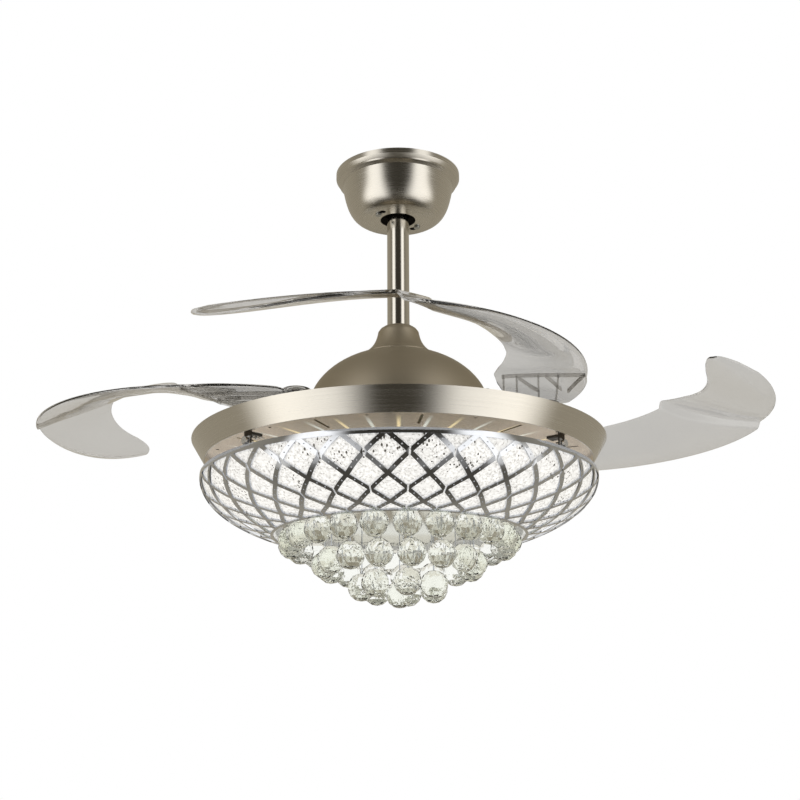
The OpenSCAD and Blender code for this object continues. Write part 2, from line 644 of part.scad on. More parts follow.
module rib(a, b) {
    n = 4;
    across = rib_t / 2 * [-(b - a)[1], (b - a)[0]] / norm(b - a);
    points = [for (i = [0:n]) let (p = lerp(a, b, i / n), z = root_z(p) - blade_t / 2 + 0.8) each
        [[p[0] - across[0], p[1] - across[1], z], [p[0] + across[0], p[1] + across[1], z],
         [p[0] + across[0], p[1] + across[1], z - rib_h], [p[0] - across[0], p[1] - across[1], z - rib_h]]];
    faces = concat([[0, 3, 2, 1]], [[4 * n, 4 * n + 1, 4 * n + 2, 4 * n + 3]],
        [for (i = [0:n - 1]) for (k = [0:3]) let (m = (k + 1) % 4) each
            [[4 * i + k, 4 * i + m, 4 * (i + 1) + k], [4 * i + m, 4 * (i + 1) + m, 4 * (i + 1) + k]]]);
    polyhedron(points, faces);
}

module hub_screw_places() translate(pivot_point) for (a = [30, 150, 270]) rotate([0, 0, a])
    translate([11.5, 0, 0]) children();

module blade() {
    difference() {
        union() {
            difference() {
                blade_sheet();
                translate(pivot_point) rod(boss_r - 1, 0, 60, 48);
            }
            translate(pivot_point) rod(boss_r, gear_top, boss_top, 48);
            difference() {
                for (r = ribs) rib(r[0], r[1]);
                translate(pivot_point) rod(boss_r - 1, 0, 60, 48);
            }
        }
        translate(pivot_point) rod(pin_r + run_gap, 0, boss_top + 1, fine);
        translate(pivot_point) rod(pocket_r, pocket_z, head_z, 48);
        translate(pivot_point) rod(head_r + seat_gap, head_z - seat_gap, boss_top + 10, fine);
        hub_screw_places() rod(1.5, 0, 16, 24);
    }
}

hub_reach = 12;
hub_first = whole_pitches(fold_angle + hub_reach, hub_teeth) - 180 / hub_teeth;
module blade_hub() translate(pivot_point) difference() {
    union() {
        rod(boss_r + 1, gear_z, gear_top, 48);
        translate([0, 0, gear_z]) linear_extrude(gear_t) rotate([0, 0, pivot_az + 180])
            polygon(concat([[0, 0]], tooth_row(hub_teeth, hub_first, -hub_reach, foot_r(hub_teeth))));
    }
    rod(pin_r + run_gap, gear_z - 1, gear_top + 1, fine);
    translate(-pivot_point) hub_screw_places() {
        rod(1.5, gear_z - 1, gear_top + 1, 24);
        rod(2.8, gear_z - 1, gear_z + 1.5, 24);
    }
}

module hub_screws() hub_screw_places() {
    rod(1.4, gear_z + 1, 15, 24);
    rod(2.6, gear_z, gear_z + 1.4, 24);
}

module place_blade(k) at_lamp() rotate([0, 0, 90 * (k - 1)]) children();
module blade_1() color(smoke) place_blade(1) blade();
module blade_2() color(smoke) place_blade(2) blade();
module blade_3() color(smoke) place_blade(3) blade();
module blade_4() color(smoke) place_blade(4) blade();
module blade_hub_1() color(black) place_blade(1) blade_hub();
module blade_hub_2() color(black) place_blade(2) blade_hub();
module blade_hub_3() color(black) place_blade(3) blade_hub();
module blade_hub_4() color(black) place_blade(4) blade_hub();
module hub_screws_1() color(steel) place_blade(1) hub_screws();
module hub_screws_2() color(steel) place_blade(2) hub_screws();
module hub_screws_3() color(steel) place_blade(3) hub_screws();
module hub_screws_4() color(steel) place_blade(4) hub_screws();

/* ---- Lamp body ---- */
pan_t = 2;
pan_top = -sheet_t;
pan_bottom = pan_top - pan_t;
plate_t = 1.2;
plate_top = -ring_h + plate_t + 0.4;
plate_bottom = plate_top - plate_t;
function ring_outer(z) = ring_r + ring_taper * z / ring_h;
pan_r = ring_outer(pan_bottom) - sheet_t - seat_gap;
plate_r = ring_outer(plate_bottom) - sheet_t - seat_gap;
lip_w = 9;
// The under plate's slots and the shade's clips share this turn from the front
plate_phase = 6.4;
standoff_r = 120;

module shaft_nut(z0, z1) difference() {
    translate([0, 0, z0]) cylinder(r = shaft_r + 6, h = z1 - z0, $fn = 6);
    rod(shaft_r + slip_gap, z0 - 1, z1 + 1, fine);
}

module shaft_nuts() at_lamp() color(zinc) {
    shaft_nut(pan_top, 3);
    shaft_nut(pan_bottom - 6, pan_bottom);
}

module lamp_pan() at_lamp() color(white) difference() {
    rod(pan_r, pan_bottom, pan_top, 144);
    rod(shaft_r + slip_gap, pan_bottom - 1, pan_top + 1, fine);
    around(8, 22.5) translate([ring_r - 6, 0, 0]) rod(1.6, pan_bottom - 1, pan_top + 1, 24);
    around(4, 45) translate([standoff_r, 0, 0]) rod(2.1, pan_bottom - 1, pan_top + 1, 24);
}

module ring_band() at_lamp() color(nickel) difference() {
    rotate_extrude($fn = 180) polygon([[ring_r - lip_w, 0], [ring_r, 0], [ring_r - ring_taper, -ring_h],
        [ring_r - ring_taper - sheet_t, -ring_h], [ring_outer(-sheet_t) - sheet_t, -sheet_t],
        [ring_r - lip_w, -sheet_t]]);
    around(8, 22.5) translate([ring_r - 6, 0, 0]) rod(1.6 + slip_gap, -sheet_t - 1, 1, 24);
}

module band_screws() at_lamp() color(zinc) around(8, 22.5) translate([ring_r - 6, 0, 0]) {
    rod(1.5, pan_bottom, eps, 24);
    rod(3, 0, 1.4, 24);
}

module lamp_standoffs() at_lamp() color(zinc) around(4, 45) translate([standoff_r, 0, 0]) {
    rod(5, plate_top, pan_bottom, 32);
    rod(2, pan_bottom - eps, pan_top, 24);
    rod(2, plate_bottom, plate_top + eps, 24);
}

module under_plate() at_lamp() color(brass_tint) difference() {
    rod(plate_r, plate_bottom, plate_top, 144);
    rod(12, plate_bottom - 1, plate_top + 1, 48);
    around(plate_slots, plate_phase - 90) translate([plate_r - 42, -1.5, plate_bottom - 1])
        cube([34, 3, plate_t + 2]);
    around(plate_slots, plate_phase - 90 + 180 / plate_slots) translate([plate_r - 8, 0, 0])
        rod(1.8, plate_bottom - 1, plate_top + 1, 24);
    around(4, 45) translate([standoff_r, 0, 0]) rod(2.1, plate_bottom - 1, plate_top + 1, 24);
}

module led_driver() at_lamp() color(white) translate([35, -26, pan_bottom - 14]) cube([72, 52, 14]);

board_r = 155;
board_bottom = plate_bottom - 1.6;
module led_board() at_lamp() color(white) difference() {
    tube(board_r, 60, board_bottom, plate_bottom, 144);
    around(4, 45) translate([standoff_r, 0, 0]) rod(6, board_bottom - 1, plate_bottom + 1, 32);
}

module led_chips() at_lamp() color([0.98, 0.94, 0.75]) {
    around(chips) translate([board_r - 9, -2.5, board_bottom - 1.5]) cube([5, 5, 1.5]);
    around(chips / 2, 5) translate([standoff_r - 36, -2.5, board_bottom - 1.5]) cube([5, 5, 1.5]);
}

/* ---- Shade ---- */
bowl_r = ring_r - bowl_margin;
bowl_z = -45;
rim_t = -2.5;
// Room for each hanging ball around its ring, and the radius of the outer ring
ball_gap = 3.41;
tier_r = outer_balls * (2 * crystal_r + ball_gap) / (2 * PI);
// A point on the bowl's outside, at an angle t below its widest circle, d inside the lattice's face
function bowl_point(t, d) = [(bowl_r - d) * cos(t), bowl_z - (bowl_depth - d) * sin(t)];
lattice_gap = strip_t + 3 * seat_gap;
bowl_inset = lattice_gap + bowl_t;
// The bowl is cut off where its opening just clears the outer ring of balls
end_t = acos((tier_r + crystal_r + 1.1) / (bowl_r - bowl_inset));
foot_t = end_t - 1;
// Rows of the lattice: crossings and side corners in turn, as angles down the bowl
row_t = end_t * [0, 0.2706, 0.5353, 0.7176, 0.8784, 0.9647];
// The bowl bends where the lattice's strips do, so that it lies close behind them
bend_t = concat([for (i = [0:4]) each [row_t[i], (row_t[i] + row_t[i + 1]) / 2]], [row_t[5], end_t]);

module bowl_shade() at_lamp() color(glass) rotate_extrude($fn = 144) polygon(concat(
    [for (t = bend_t) bowl_point(t, lattice_gap)], [for (t = back(bend_t)) bowl_point(t, bowl_inset)]));

band_t = 1.7;
lattice_phase = -90 - 3.15;
half_col = 180 / columns;
function arc_mm(t0, t1) = norm(bowl_point(t1, 0) - bowl_point(t0, 0));
function width_mm(t) = bowl_point(t, 0)[0] * half_col * PI / 180;
// How far a window's corners stand back from the crossings, sideways and up or down
function side_inset(j, q) = let (p = width_mm(row_t[j])) strip_w / 2 * norm([p, q]) / q / p * half_col;
function rise_inset(j, q) = let (p = width_mm(row_t[j])) strip_w / 2 * norm([p, q]) / p / q;
// Corners of window (column c, row j) as [turn, angle down]: top, right, bottom, left
function window(c, j) = let (
        i = j % 2 == 0 ? 2 * c + 1 : 2 * c,
        up_t = j == 0 ? band_t : row_t[j - 1],
        low_t = j == 5 ? foot_t : row_t[j + 1],
        q0 = arc_mm(up_t, row_t[j] + (j == 0 ? row_t[1] : 0)),
        q1 = arc_mm(row_t[j] - (j == 5 ? 3 : 0), low_t),
        mid_t = j == 0 ? band_t : j == 5 ? foot_t : row_t[j],
        side = side_inset(j, (q0 + q1) / 2))
    [[i * half_col, up_t + rise_inset(j, q0) * (mid_t - up_t)],
     [(i + 1) * half_col - side, mid_t],
     [i * half_col, low_t - rise_inset(j, q1) * (low_t - mid_t)],
     [(i - 1) * half_col + side, mid_t]];
function on_bowl(p, d) = let (q = bowl_point(p[1], d)) [q[0] * cos(p[0]), q[0] * sin(p[0]), q[1]];

module lattice_net() {
    n = columns;
    ring = 6 * n * 4;
    flat = concat([for (j = [0:5]) for (c = [0:n - 1]) each window(c, j)],
        [for (c = [0:n - 1]) for (k = [3, 0, 1]) [window(c, 0)[k][0], rim_t]],
        [for (c = [0:n - 1]) for (k = [3, 2, 1]) [window(c, 5)[k][0], end_t]],
        [for (j = [0:5]) for (c = [0:n - 1]) let (w = window(c, j))
            for (k = [0:3]) (w[k] + w[(k + 1) % 4]) / 2]);
    size = len(flat);
    points = [for (d = [0, strip_t]) for (p = flat) on_bowl(p, d)];
    function at(c, j, k) = (j * n + (c + n) % n) * 4 + k;
    function rim(c, k) = ring + 3 * ((c + n) % n) + k;
    function foot(c, k) = ring + 3 * n + 3 * ((c + n) % n) + k;
    // middle of the window's side from corner k to the next one
    function mid(c, j, k) = ring + 6 * n + at(c, j, k);
    // windows beside and below a crossing or side corner
    function left_c(c, j) = j % 2 == 0 ? c - 1 : c;
    function right_c(c, j) = j % 2 == 0 ? c : c + 1;
    skin = concat(
        [for (j = [1:4]) for (c = [0:n - 1])
            [at(c, j - 1, 2), at(right_c(c, j), j, 3), at(c, j + 1, 0), at(left_c(c, j), j, 1)]],
        [for (c = [0:n - 1]) [at(c - 1, 0, 1), at(c, 0, 3), at(c, 1, 0)]],
        [for (c = [0:n - 1]) [at(c, 4, 2), at(c + 1, 5, 3), at(c, 5, 1)]],
        [for (j = [0:4]) for (c = [0:n - 1]) each
            [[at(right_c(c, j), j, 3), mid(right_c(c, j), j, 2), mid(c, j + 1, 0), at(c, j + 1, 0)],
             [mid(right_c(c, j), j, 2), at(right_c(c, j), j, 2), at(c, j + 1, 1), mid(c, j + 1, 0)],
             [at(left_c(c, j), j, 1), at(c, j + 1, 0), mid(c, j + 1, 3), mid(left_c(c, j), j, 1)],
             [mid(left_c(c, j), j, 1), mid(c, j + 1, 3), at(c, j + 1, 3), at(left_c(c, j), j, 2)]]],
        [for (c = [0:n - 1]) each
            [[rim(c, 0), rim(c, 1), at(c, 0, 0), at(c, 0, 3)],
             [rim(c, 1), rim(c, 2), at(c, 0, 1), at(c, 0, 0)],
             [rim(c - 1, 2), rim(c, 0), at(c, 0, 3), at(c - 1, 0, 1)],
             [at(c, 5, 3), at(c, 5, 2), foot(c, 1), foot(c, 0)],
             [at(c, 5, 2), at(c, 5, 1), foot(c, 2), foot(c, 1)],
             [at(c - 1, 5, 1), at(c, 5, 3), foot(c, 0), foot(c - 1, 2)]]]);
    function wall(a, b) = [a, b, size + b, size + a];
    walls = concat(
        [for (j = [0:5]) for (c = [0:n - 1]) for (k = j == 0 ? [1, 2] : j == 5 ? [0, 3] : [0:3]) each
            [wall(at(c, j, k), mid(c, j, k)), wall(mid(c, j, k), at(c, j, (k + 1) % 4))]],
        [for (c = [0:n - 1]) each
            [wall(at(c, 0, 3), at(c, 0, 0)), wall(at(c, 0, 0), at(c, 0, 1)),
             wall(at(c, 5, 1), at(c, 5, 2)), wall(at(c, 5, 2), at(c, 5, 3)),
             wall(rim(c, 2), rim(c, 1)), wall(rim(c, 1), rim(c, 0)), wall(rim(c, 0), rim(c - 1, 2)),
             wall(foot(c, 0), foot(c, 1)), wall(foot(c, 1), foot(c, 2)),
             wall(foot(c - 1, 2), foot(c, 0))]]);
    function split(f) = len(f) == 3 ? [f] : [[f[0], f[1], f[2]], [f[0], f[2], f[3]]];
    faces = concat([for (f = skin) each split(f)], [for (f = skin) each split([for (k = back(f)) size + k])],
        [for (f = walls) each split(f)]);
    rotate([0, 0, lattice_phase]) polyhedron(points, faces);
}

// Three ears on the lattice's rim stand up outside the brackets under the plate
clip_r = bowl_r - 14.5;
clip_w = 12;
clip_z = plate_bottom - 8;
ear_r = clip_r + 1.5 + slip_gap;
ear_z = bowl_z + seat_gap;
// Turn of each clip from the front of the fan
clip_turns = [-48, 54, 183];
module at_clips() for (a = clip_turns) rotate([0, 0, a - 90]) children();

module shade_ear() difference() {
    union() {
        translate([ear_r, -clip_w / 2, ear_z]) cube([1.5, clip_w, clip_z + 5 - ear_z]);
        translate([ear_r, -clip_w / 2, ear_z]) cube([bowl_r - strip_t / 2 - ear_r, clip_w, 1.5]);
    }
    translate([clip_r - 5, 0, clip_z]) rotate([0, 90, 0]) cylinder(r = 2.5 + slip_gap, h = 12, $fn = 24);
}

module lattice_shade() at_lamp() color(dark_steel) {
    lattice_net();
    at_clips() shade_ear();
}

module shade_brackets() at_lamp() color(steel) at_clips() difference() {
    union() {
        translate([clip_r, -clip_w / 2, clip_z - 5]) cube([1.5, clip_w, plate_bottom - clip_z + 5]);
        translate([clip_r - 14, -clip_w / 2, plate_bottom - 1.5]) cube([14 + eps, clip_w, 1.5]);
    }
    translate([clip_r - 5, 0, clip_z]) rotate([0, 90, 0]) cylinder(r = 2.5 + slip_gap, h = 12, $fn = 24);
}

module shade_screws() at_lamp() color(zinc) at_clips() translate([clip_r - 5, 0, clip_z])
    rotate([0, 90, 0]) {
        cylinder(r = 2.5, h = 8 + 2 * slip_gap, $fn = 24);
        translate([0, 0, 8 + 2 * slip_gap - eps]) cylinder(r = 4.4, h = 3, $fn = 32);
    }

/* ---- Crystals ---- */
// The plate that carries the balls rests inside the bowl, above its opening
crystal_plate_z = bowl_point(end_t, bowl_inset)[1] + 7;
crystal_plate_t = 2;
crystal_plate_r = let (s = (crystal_plate_z - bowl_z) / (bowl_depth - bowl_inset))
    (bowl_r - bowl_inset) * sqrt(1 - s * s) - seat_gap;
// Radius and height of each ring of balls
ball_drops = [2, 27, 52, 60];
ring_shares = [1, 0.6855, 0.3468, 0];
rings = [for (k = [0:3]) [ring_shares[k] * tier_r, crystal_plate_z - crystal_r - ball_drops[k]]];
function ball_count(k) = [outer_balls, middle_balls, inner_balls, 1][k];
ring_turn = [4, 9, 12, 0];

module ball_places(k) around(ball_count(k), ring_turn[k] - 90) translate([rings[k][0], 0, 0]) children();
module balls(k) at_lamp() color(clear) ball_places(k) translate([0, 0, rings[k][1]])
    sphere(r = crystal_r, $fn = 48);

module crystal_plate() at_lamp() color(zinc) difference() {
    rod(crystal_plate_r, crystal_plate_z, crystal_plate_z + crystal_plate_t, 144);
    for (k = [0:3]) ball_places(k) rod(0.8, crystal_plate_z - 1, crystal_plate_z + crystal_plate_t + 1, 16);
}

// Each ball hangs on a stiff wire with a bead above the plate
module crystal_wires() at_lamp() color(steel) for (k = [0:3]) ball_places(k) {
    rod(0.7, rings[k][1] + crystal_r - 0.05, crystal_plate_z + crystal_plate_t + eps, 16);
    rod(1.6, crystal_plate_z + crystal_plate_t, crystal_plate_z + crystal_plate_t + 1.2, 16);
}

module outer_crystals() balls(0);
module middle_crystals() balls(1);
module inner_crystals() balls(2);
module centre_crystal() balls(3);

ceiling_bracket();
ball_seat();
canopy();
canopy_screws();
remote_receiver();
hanger_ball();
hanger_pin();
downrod();
motor_yoke();
yoke_pin();
yoke_set_screws();
coupling_cover();
motor_cover();
cover_screws();
motor_shaft();
stator_core();
stator_windings();
shaft_nuts();
lamp_pan();
ring_band();
band_screws();
lamp_standoffs();
under_plate();
led_driver();
led_board();
led_chips();
bowl_shade();
lattice_shade();
shade_brackets();
shade_screws();
crystal_plate();
crystal_wires();
outer_crystals();
middle_crystals();
inner_crystals();
centre_crystal();
rotor_shell();
rotor_base();
rotor_magnets();
rotor_bearings();
blade_tray();
tray_screws();
pivot_pins();
pivot_nuts();
stop_buffers();
return_springs();
sync_gear();
blade_1();
blade_2();
blade_3();
blade_4();
blade_hub_1();
blade_hub_2();
blade_hub_3();
blade_hub_4();
hub_screws_1();
hub_screws_2();
hub_screws_3();
hub_screws_4();
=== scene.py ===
"""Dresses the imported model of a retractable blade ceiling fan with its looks."""
import itertools
import math

import bmesh
import bpy
from mathutils import Matrix, Vector


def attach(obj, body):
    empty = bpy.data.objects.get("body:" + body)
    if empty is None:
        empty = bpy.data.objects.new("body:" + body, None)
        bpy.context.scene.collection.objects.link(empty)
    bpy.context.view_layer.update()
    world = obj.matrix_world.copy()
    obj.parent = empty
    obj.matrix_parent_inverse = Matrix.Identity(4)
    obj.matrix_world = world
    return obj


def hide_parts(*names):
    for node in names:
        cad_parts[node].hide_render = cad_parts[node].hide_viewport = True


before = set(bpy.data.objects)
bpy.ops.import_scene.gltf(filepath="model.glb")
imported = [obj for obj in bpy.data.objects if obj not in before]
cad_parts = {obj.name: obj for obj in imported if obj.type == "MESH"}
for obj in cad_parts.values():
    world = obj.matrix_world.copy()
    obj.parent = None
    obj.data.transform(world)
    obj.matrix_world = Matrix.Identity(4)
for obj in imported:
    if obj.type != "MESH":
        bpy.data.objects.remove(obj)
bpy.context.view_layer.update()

bl_info = {
    "name": "Retractable Fan Dressing",
    "version": (1, 0, 0),
    "blender": (4, 5, 0),
    "location": "3D View > Sidebar > Fan",
    "description": "Builds the blades, lattice bowl and crystals of a ceiling fan and finishes its metalwork",
    "category": "Object",
}

MM = 0.001
# Height of the ring's top edge, from which the lamp and the blades are measured, in millimetres
LAMP_Z = -345.7
# Glints round the under plate, and sectors of cool and warm light round the light board
SECTORS = 40
# Keeps the level part of a vector
LEVEL = (1.0, 1.0, 0.0)


def linear(hex_colour):
    """Turns an sRGB hex colour into the linear values that shaders take."""
    channels = [int(hex_colour[i:i + 2], 16) / 255 for i in (1, 3, 5)]
    return tuple(c / 12.92 if c <= 0.04045 else ((c + 0.055) / 1.055) ** 2.4 for c in channels)


def mix(a, b, t):
    """The value a share t of the way from a to b."""
    return a + (b - a) * t


def smooth_step(t):
    """Eases in and out between 0 and 1."""
    t = max(0.0, min(1.0, t))
    return t * t * (3 - 2 * t)


# ---- Settings ----

class BladeSettings(bpy.types.PropertyGroup):
    tint: bpy.props.FloatVectorProperty(
        name="Smoke tint", description="Colour of light that has passed through a blade",
        subtype="COLOR", size=3, min=0, max=1, default=linear("#C6C4C0"))
    thickness: bpy.props.FloatProperty(
        name="Thickness", description="Thickness of a blade's sheet",
        default=0.003, min=0.002, max=0.004, unit="LENGTH", subtype="DISTANCE")
    along: bpy.props.IntProperty(
        name="Steps along", description="Rows of faces along a blade", default=120, min=30, max=200)
    across: bpy.props.IntProperty(
        name="Steps across", description="Rows of faces across a blade", default=22, min=8, max=40)


class BowlSettings(bpy.types.PropertyGroup):
    columns: bpy.props.IntProperty(
        name="Columns", description="Diamond columns around the lattice", default=30, min=24, max=36)
    strip_width: bpy.props.FloatProperty(
        name="Strip width", description="Width of a lattice strip",
        default=0.005, min=0.004, max=0.006, unit="LENGTH", subtype="DISTANCE")
    hole_radius: bpy.props.FloatProperty(
        name="Hole radius", description="Radius of the small holes in the strips",
        default=0.0009, min=0.0005, max=0.0014, unit="LENGTH", subtype="DISTANCE")
    # strength of the bowl's painted glow, which stands for the lamp's light through it
    glow: bpy.props.FloatProperty(
        name="Glow", description="How brightly the lit bowl shines", default=0.36, min=0, max=2)


class CrystalSettings(bpy.types.PropertyGroup):
    radius: bpy.props.FloatProperty(
        name="Radius", description="Radius of a crystal ball",
        default=0.016, min=0.01, max=0.02, unit="LENGTH", subtype="DISTANCE")
    tint: bpy.props.FloatVectorProperty(
        name="Glass tint", description="Faint colour of the crystal",
        subtype="COLOR", size=3, min=0, max=1, default=linear("#FAFBF6"))


class MetalSettings(bpy.types.PropertyGroup):
    nickel: bpy.props.FloatVectorProperty(
        name="Nickel", description="Colour of the satin nickel plate",
        subtype="COLOR", size=3, min=0, max=1, default=linear("#CECAC2"))
    champagne: bpy.props.FloatVectorProperty(
        name="Champagne", description="Colour of the polished plate under the ring",
        subtype="COLOR", size=3, min=0, max=1, default=linear("#DACCBA"))


class StageSettings(bpy.types.PropertyGroup):
    backdrop: bpy.props.FloatVectorProperty(
        name="Backdrop", description="Colour of the floor and the space behind the fan",
        subtype="COLOR", size=3, min=0, max=1, default=linear("#FFFFFF"))
    lens: bpy.props.FloatProperty(
        name="Lens", description="Focal length of the camera in millimetres", default=61.35, min=20, max=200)


# ---- Node and material building ----

def fill_inputs(tree, node, **inputs):
    """Links a node's inputs to sockets, or sets them to values. In a name, _ stands for a space, and
    in3 for the input with number 3."""
    for name, value in inputs.items():
        key = int(name[2:]) if name.startswith("in") and name[2:].isdigit() else name.replace("_", " ")
        socket = node.inputs[key]
        if isinstance(value, bpy.types.NodeSocket):
            tree.links.new(value, socket)
        else:
            socket.default_value = value


def add_node(tree, kind, settings=None, **inputs):
    """Adds a node, sets its properties, and fills its inputs."""
    node = tree.nodes.new(kind)
    for name, value in (settings or {}).items():
        setattr(node, name, value)
    fill_inputs(tree, node, **inputs)
    return node


def new_material(name):
    """Starts a node material and returns it with its tree and its shader."""
    material = bpy.data.materials.new(name)
    material.use_nodes = True
    tree = material.node_tree
    return material, tree, tree.nodes["Principled BSDF"]


def colour4(rgb):
    """A colour with the fourth value that sockets take."""
    return (rgb[0], rgb[1], rgb[2], 1.0)


def mottle(tree, shader, pattern, colour, darker, lighter, rough=None, relief=None):
    """Lets a pattern vary a surface: its colour between a darker and a lighter share of it, and where
    they are given, its roughness (pattern low and high, roughness there) and its relief (strength and
    height in millimetres)."""
    tone = add_node(tree, "ShaderNodeMix", {"data_type": "RGBA"}, in0=pattern,
                    in6=colour4([c * darker for c in colour]),
                    in7=colour4([min(1, c * lighter) for c in colour]))
    fill_inputs(tree, shader, Base_Color=tone.outputs[2])
    if rough:
        low, high, at_low, at_high = rough
        spread = add_node(tree, "ShaderNodeMapRange", in0=pattern, in1=low, in2=high, in3=at_low, in4=at_high)
        fill_inputs(tree, shader, Roughness=spread.outputs[0])
    if relief:
        strength, height_mm = relief
        bump = add_node(tree, "ShaderNodeBump", Height=pattern, Strength=strength, Distance=height_mm * MM)
        fill_inputs(tree, shader, Normal=bump.outputs[0])


def axis_angle(tree, place):
    """The angle of a place about the fan's axis."""
    parts = add_node(tree, "ShaderNodeSeparateXYZ", Vector=place)
    angle = add_node(tree, "ShaderNodeMath", {"operation": "ARCTAN2"}, in0=parts.outputs["Y"],
                     in1=parts.outputs["X"])
    return angle.outputs[0]


def axis_distance(tree, place):
    """The distance of a place from the fan's axis."""
    out = add_node(tree, "ShaderNodeVectorMath", {"operation": "MULTIPLY"}, in0=place, in1=LEVEL)
    radius = add_node(tree, "ShaderNodeVectorMath", {"operation": "LENGTH"}, in0=out.outputs[0])
    return radius.outputs["Value"]


def lathe_grain(tree, across_mm, round_count):
    """Noise drawn out round the vertical axis, as a lathe or a belt leaves it: fine up and down the
    profile (across_mm apart), long round the axis (round_count to a turn)."""
    place = add_node(tree, "ShaderNodeTexCoord").outputs["Object"]
    parts = add_node(tree, "ShaderNodeSeparateXYZ", Vector=place)
    # height less radius changes along walls and floors alike
    profile = add_node(tree, "ShaderNodeMath", {"operation": "SUBTRACT"}, in0=parts.outputs["Z"],
                       in1=axis_distance(tree, place))
    fine = add_node(tree, "ShaderNodeMath", {"operation": "MULTIPLY"}, in0=profile.outputs[0],
                    in1=1000 / across_mm)
    turns = add_node(tree, "ShaderNodeMath", {"operation": "MULTIPLY"}, in0=axis_angle(tree, place),
                     in1=round_count / (2 * math.pi))
    where = add_node(tree, "ShaderNodeCombineXYZ", X=fine.outputs[0], Y=turns.outputs[0])
    grain = add_node(tree, "ShaderNodeTexNoise", Vector=where.outputs[0], Scale=1.0, Detail=4.0,
                     Roughness=0.6)
    return grain.outputs["Fac"]


def turned_metal(name, colour, roughness, across_mm=0.5, round_count=5, spread=0.1, relief_mm=0.004,
                 drawn=0.55):
    """A metal that was turned, spun or brushed round the fan's axis: its grooves spread a highlight
    across themselves, so lights stand as upright bars. Real grooves are too fine to show, so these are
    drawn across_mm apart."""
    material, tree, shader = new_material(name)
    mottle(tree, shader, lathe_grain(tree, across_mm, round_count), colour, 0.88, 1.07,
           rough=(0.25, 0.75, roughness - spread / 2, roughness + spread / 2), relief=(0.35, relief_mm))
    round_axis = add_node(tree, "ShaderNodeTangent", {"direction_type": "RADIAL", "axis": "Z"})
    fill_inputs(tree, shader, Tangent=round_axis.outputs[0], Metallic=1.0, Anisotropic=drawn,
                Anisotropic_Rotation=0.25)
    return material


def paint_shade_inside(material, colour):
    """Paints the faces that look towards the axis dark and dull: painted shade inside the hollow."""
    tree = material.node_tree
    shader = tree.nodes["Principled BSDF"]
    face = add_node(tree, "ShaderNodeNewGeometry")
    out = add_node(tree, "ShaderNodeVectorMath", {"operation": "MULTIPLY"}, in0=face.outputs["Position"],
                   in1=LEVEL)
    radial = add_node(tree, "ShaderNodeVectorMath", {"operation": "NORMALIZE"}, in0=out.outputs[0])
    facing = add_node(tree, "ShaderNodeVectorMath", {"operation": "DOT_PRODUCT"},
                      in0=face.outputs["True Normal"], in1=radial.outputs[0])
    # faces that lean more than 17 degrees towards the axis
    inside = add_node(tree, "ShaderNodeMath", {"operation": "LESS_THAN"}, in0=facing.outputs["Value"],
                      in1=-0.3)
    outside_tone = shader.inputs["Base Color"].links[0].from_socket
    tone = add_node(tree, "ShaderNodeMix", {"data_type": "RGBA"}, in0=inside.outputs[0], in6=outside_tone,
                    in7=colour4(colour))
    outside_rough = shader.inputs["Roughness"].links[0].from_socket
    rough = add_node(tree, "ShaderNodeMix", {"data_type": "FLOAT"}, in0=inside.outputs[0], in2=outside_rough,
                     in3=0.7)
    fill_inputs(tree, shader, Base_Color=tone.outputs[2], Roughness=rough.outputs[0])


def plain_metal(name, colour, roughness, spot_mm=2.0, spread=0.12):
    """A metal with a slightly uneven plate or passivation: spots in clouds four spots wide, which make
    its shine a little patchy."""
    material, tree, shader = new_material(name)
    place = add_node(tree, "ShaderNodeTexCoord").outputs["Object"]
    cloud = add_node(tree, "ShaderNodeTexNoise", Vector=place, Scale=1000 / spot_mm / 4, Detail=5.0,
                     Roughness=0.6)
    mottle(tree, shader, cloud.outputs["Fac"], colour, 0.85, 1.08,
           rough=(0.3, 0.7, max(0.02, roughness - spread / 2), roughness + spread / 2))
    fill_inputs(tree, shader, Metallic=1.0)
    return material


def moulded(name, colour, roughness, grit_mm=0.6, relief_mm=0.02, metallic=0.0):
    """A moulded plastic, rubber or powder coat: grit in clouds four grains wide, which dulls its skin."""
    material, tree, shader = new_material(name)
    place = add_node(tree, "ShaderNodeTexCoord").outputs["Object"]
    grit = add_node(tree, "ShaderNodeTexNoise", Vector=place, Scale=1000 / grit_mm / 4, Detail=3.0,
                    Roughness=0.55)
    mottle(tree, shader, grit.outputs["Fac"], colour, 0.92, 1.06, relief=(0.4, relief_mm))
    fill_inputs(tree, shader, Roughness=roughness, Metallic=metallic)
    return material


def smoked_acrylic(tint):
    """Clear smoke-grey acrylic sheet, cast and flame-polished: light passes and its skin shines a
    little."""
    material, tree, shader = new_material("smoked_acrylic")
    place = add_node(tree, "ShaderNodeTexCoord").outputs["Object"]
    # waves of about 60 mm that a moulded sheet keeps, so that reflections bend a little
    wave = add_node(tree, "ShaderNodeTexNoise", Vector=place, Scale=1000 / 62.5, Detail=1.0)
    mottle(tree, shader, wave.outputs["Fac"], tint, 0.96, 1, rough=(0.3, 0.7, 0.02, 0.05), relief=(0.25, 0.4))
    # an index below acrylic's 1.49 keeps the rim as pale as the sheet, and a coat brings the shine back
    fill_inputs(tree, shader, Transmission_Weight=1.0, IOR=1.04, Coat_Weight=1.0, Coat_Roughness=0.03)
    return material


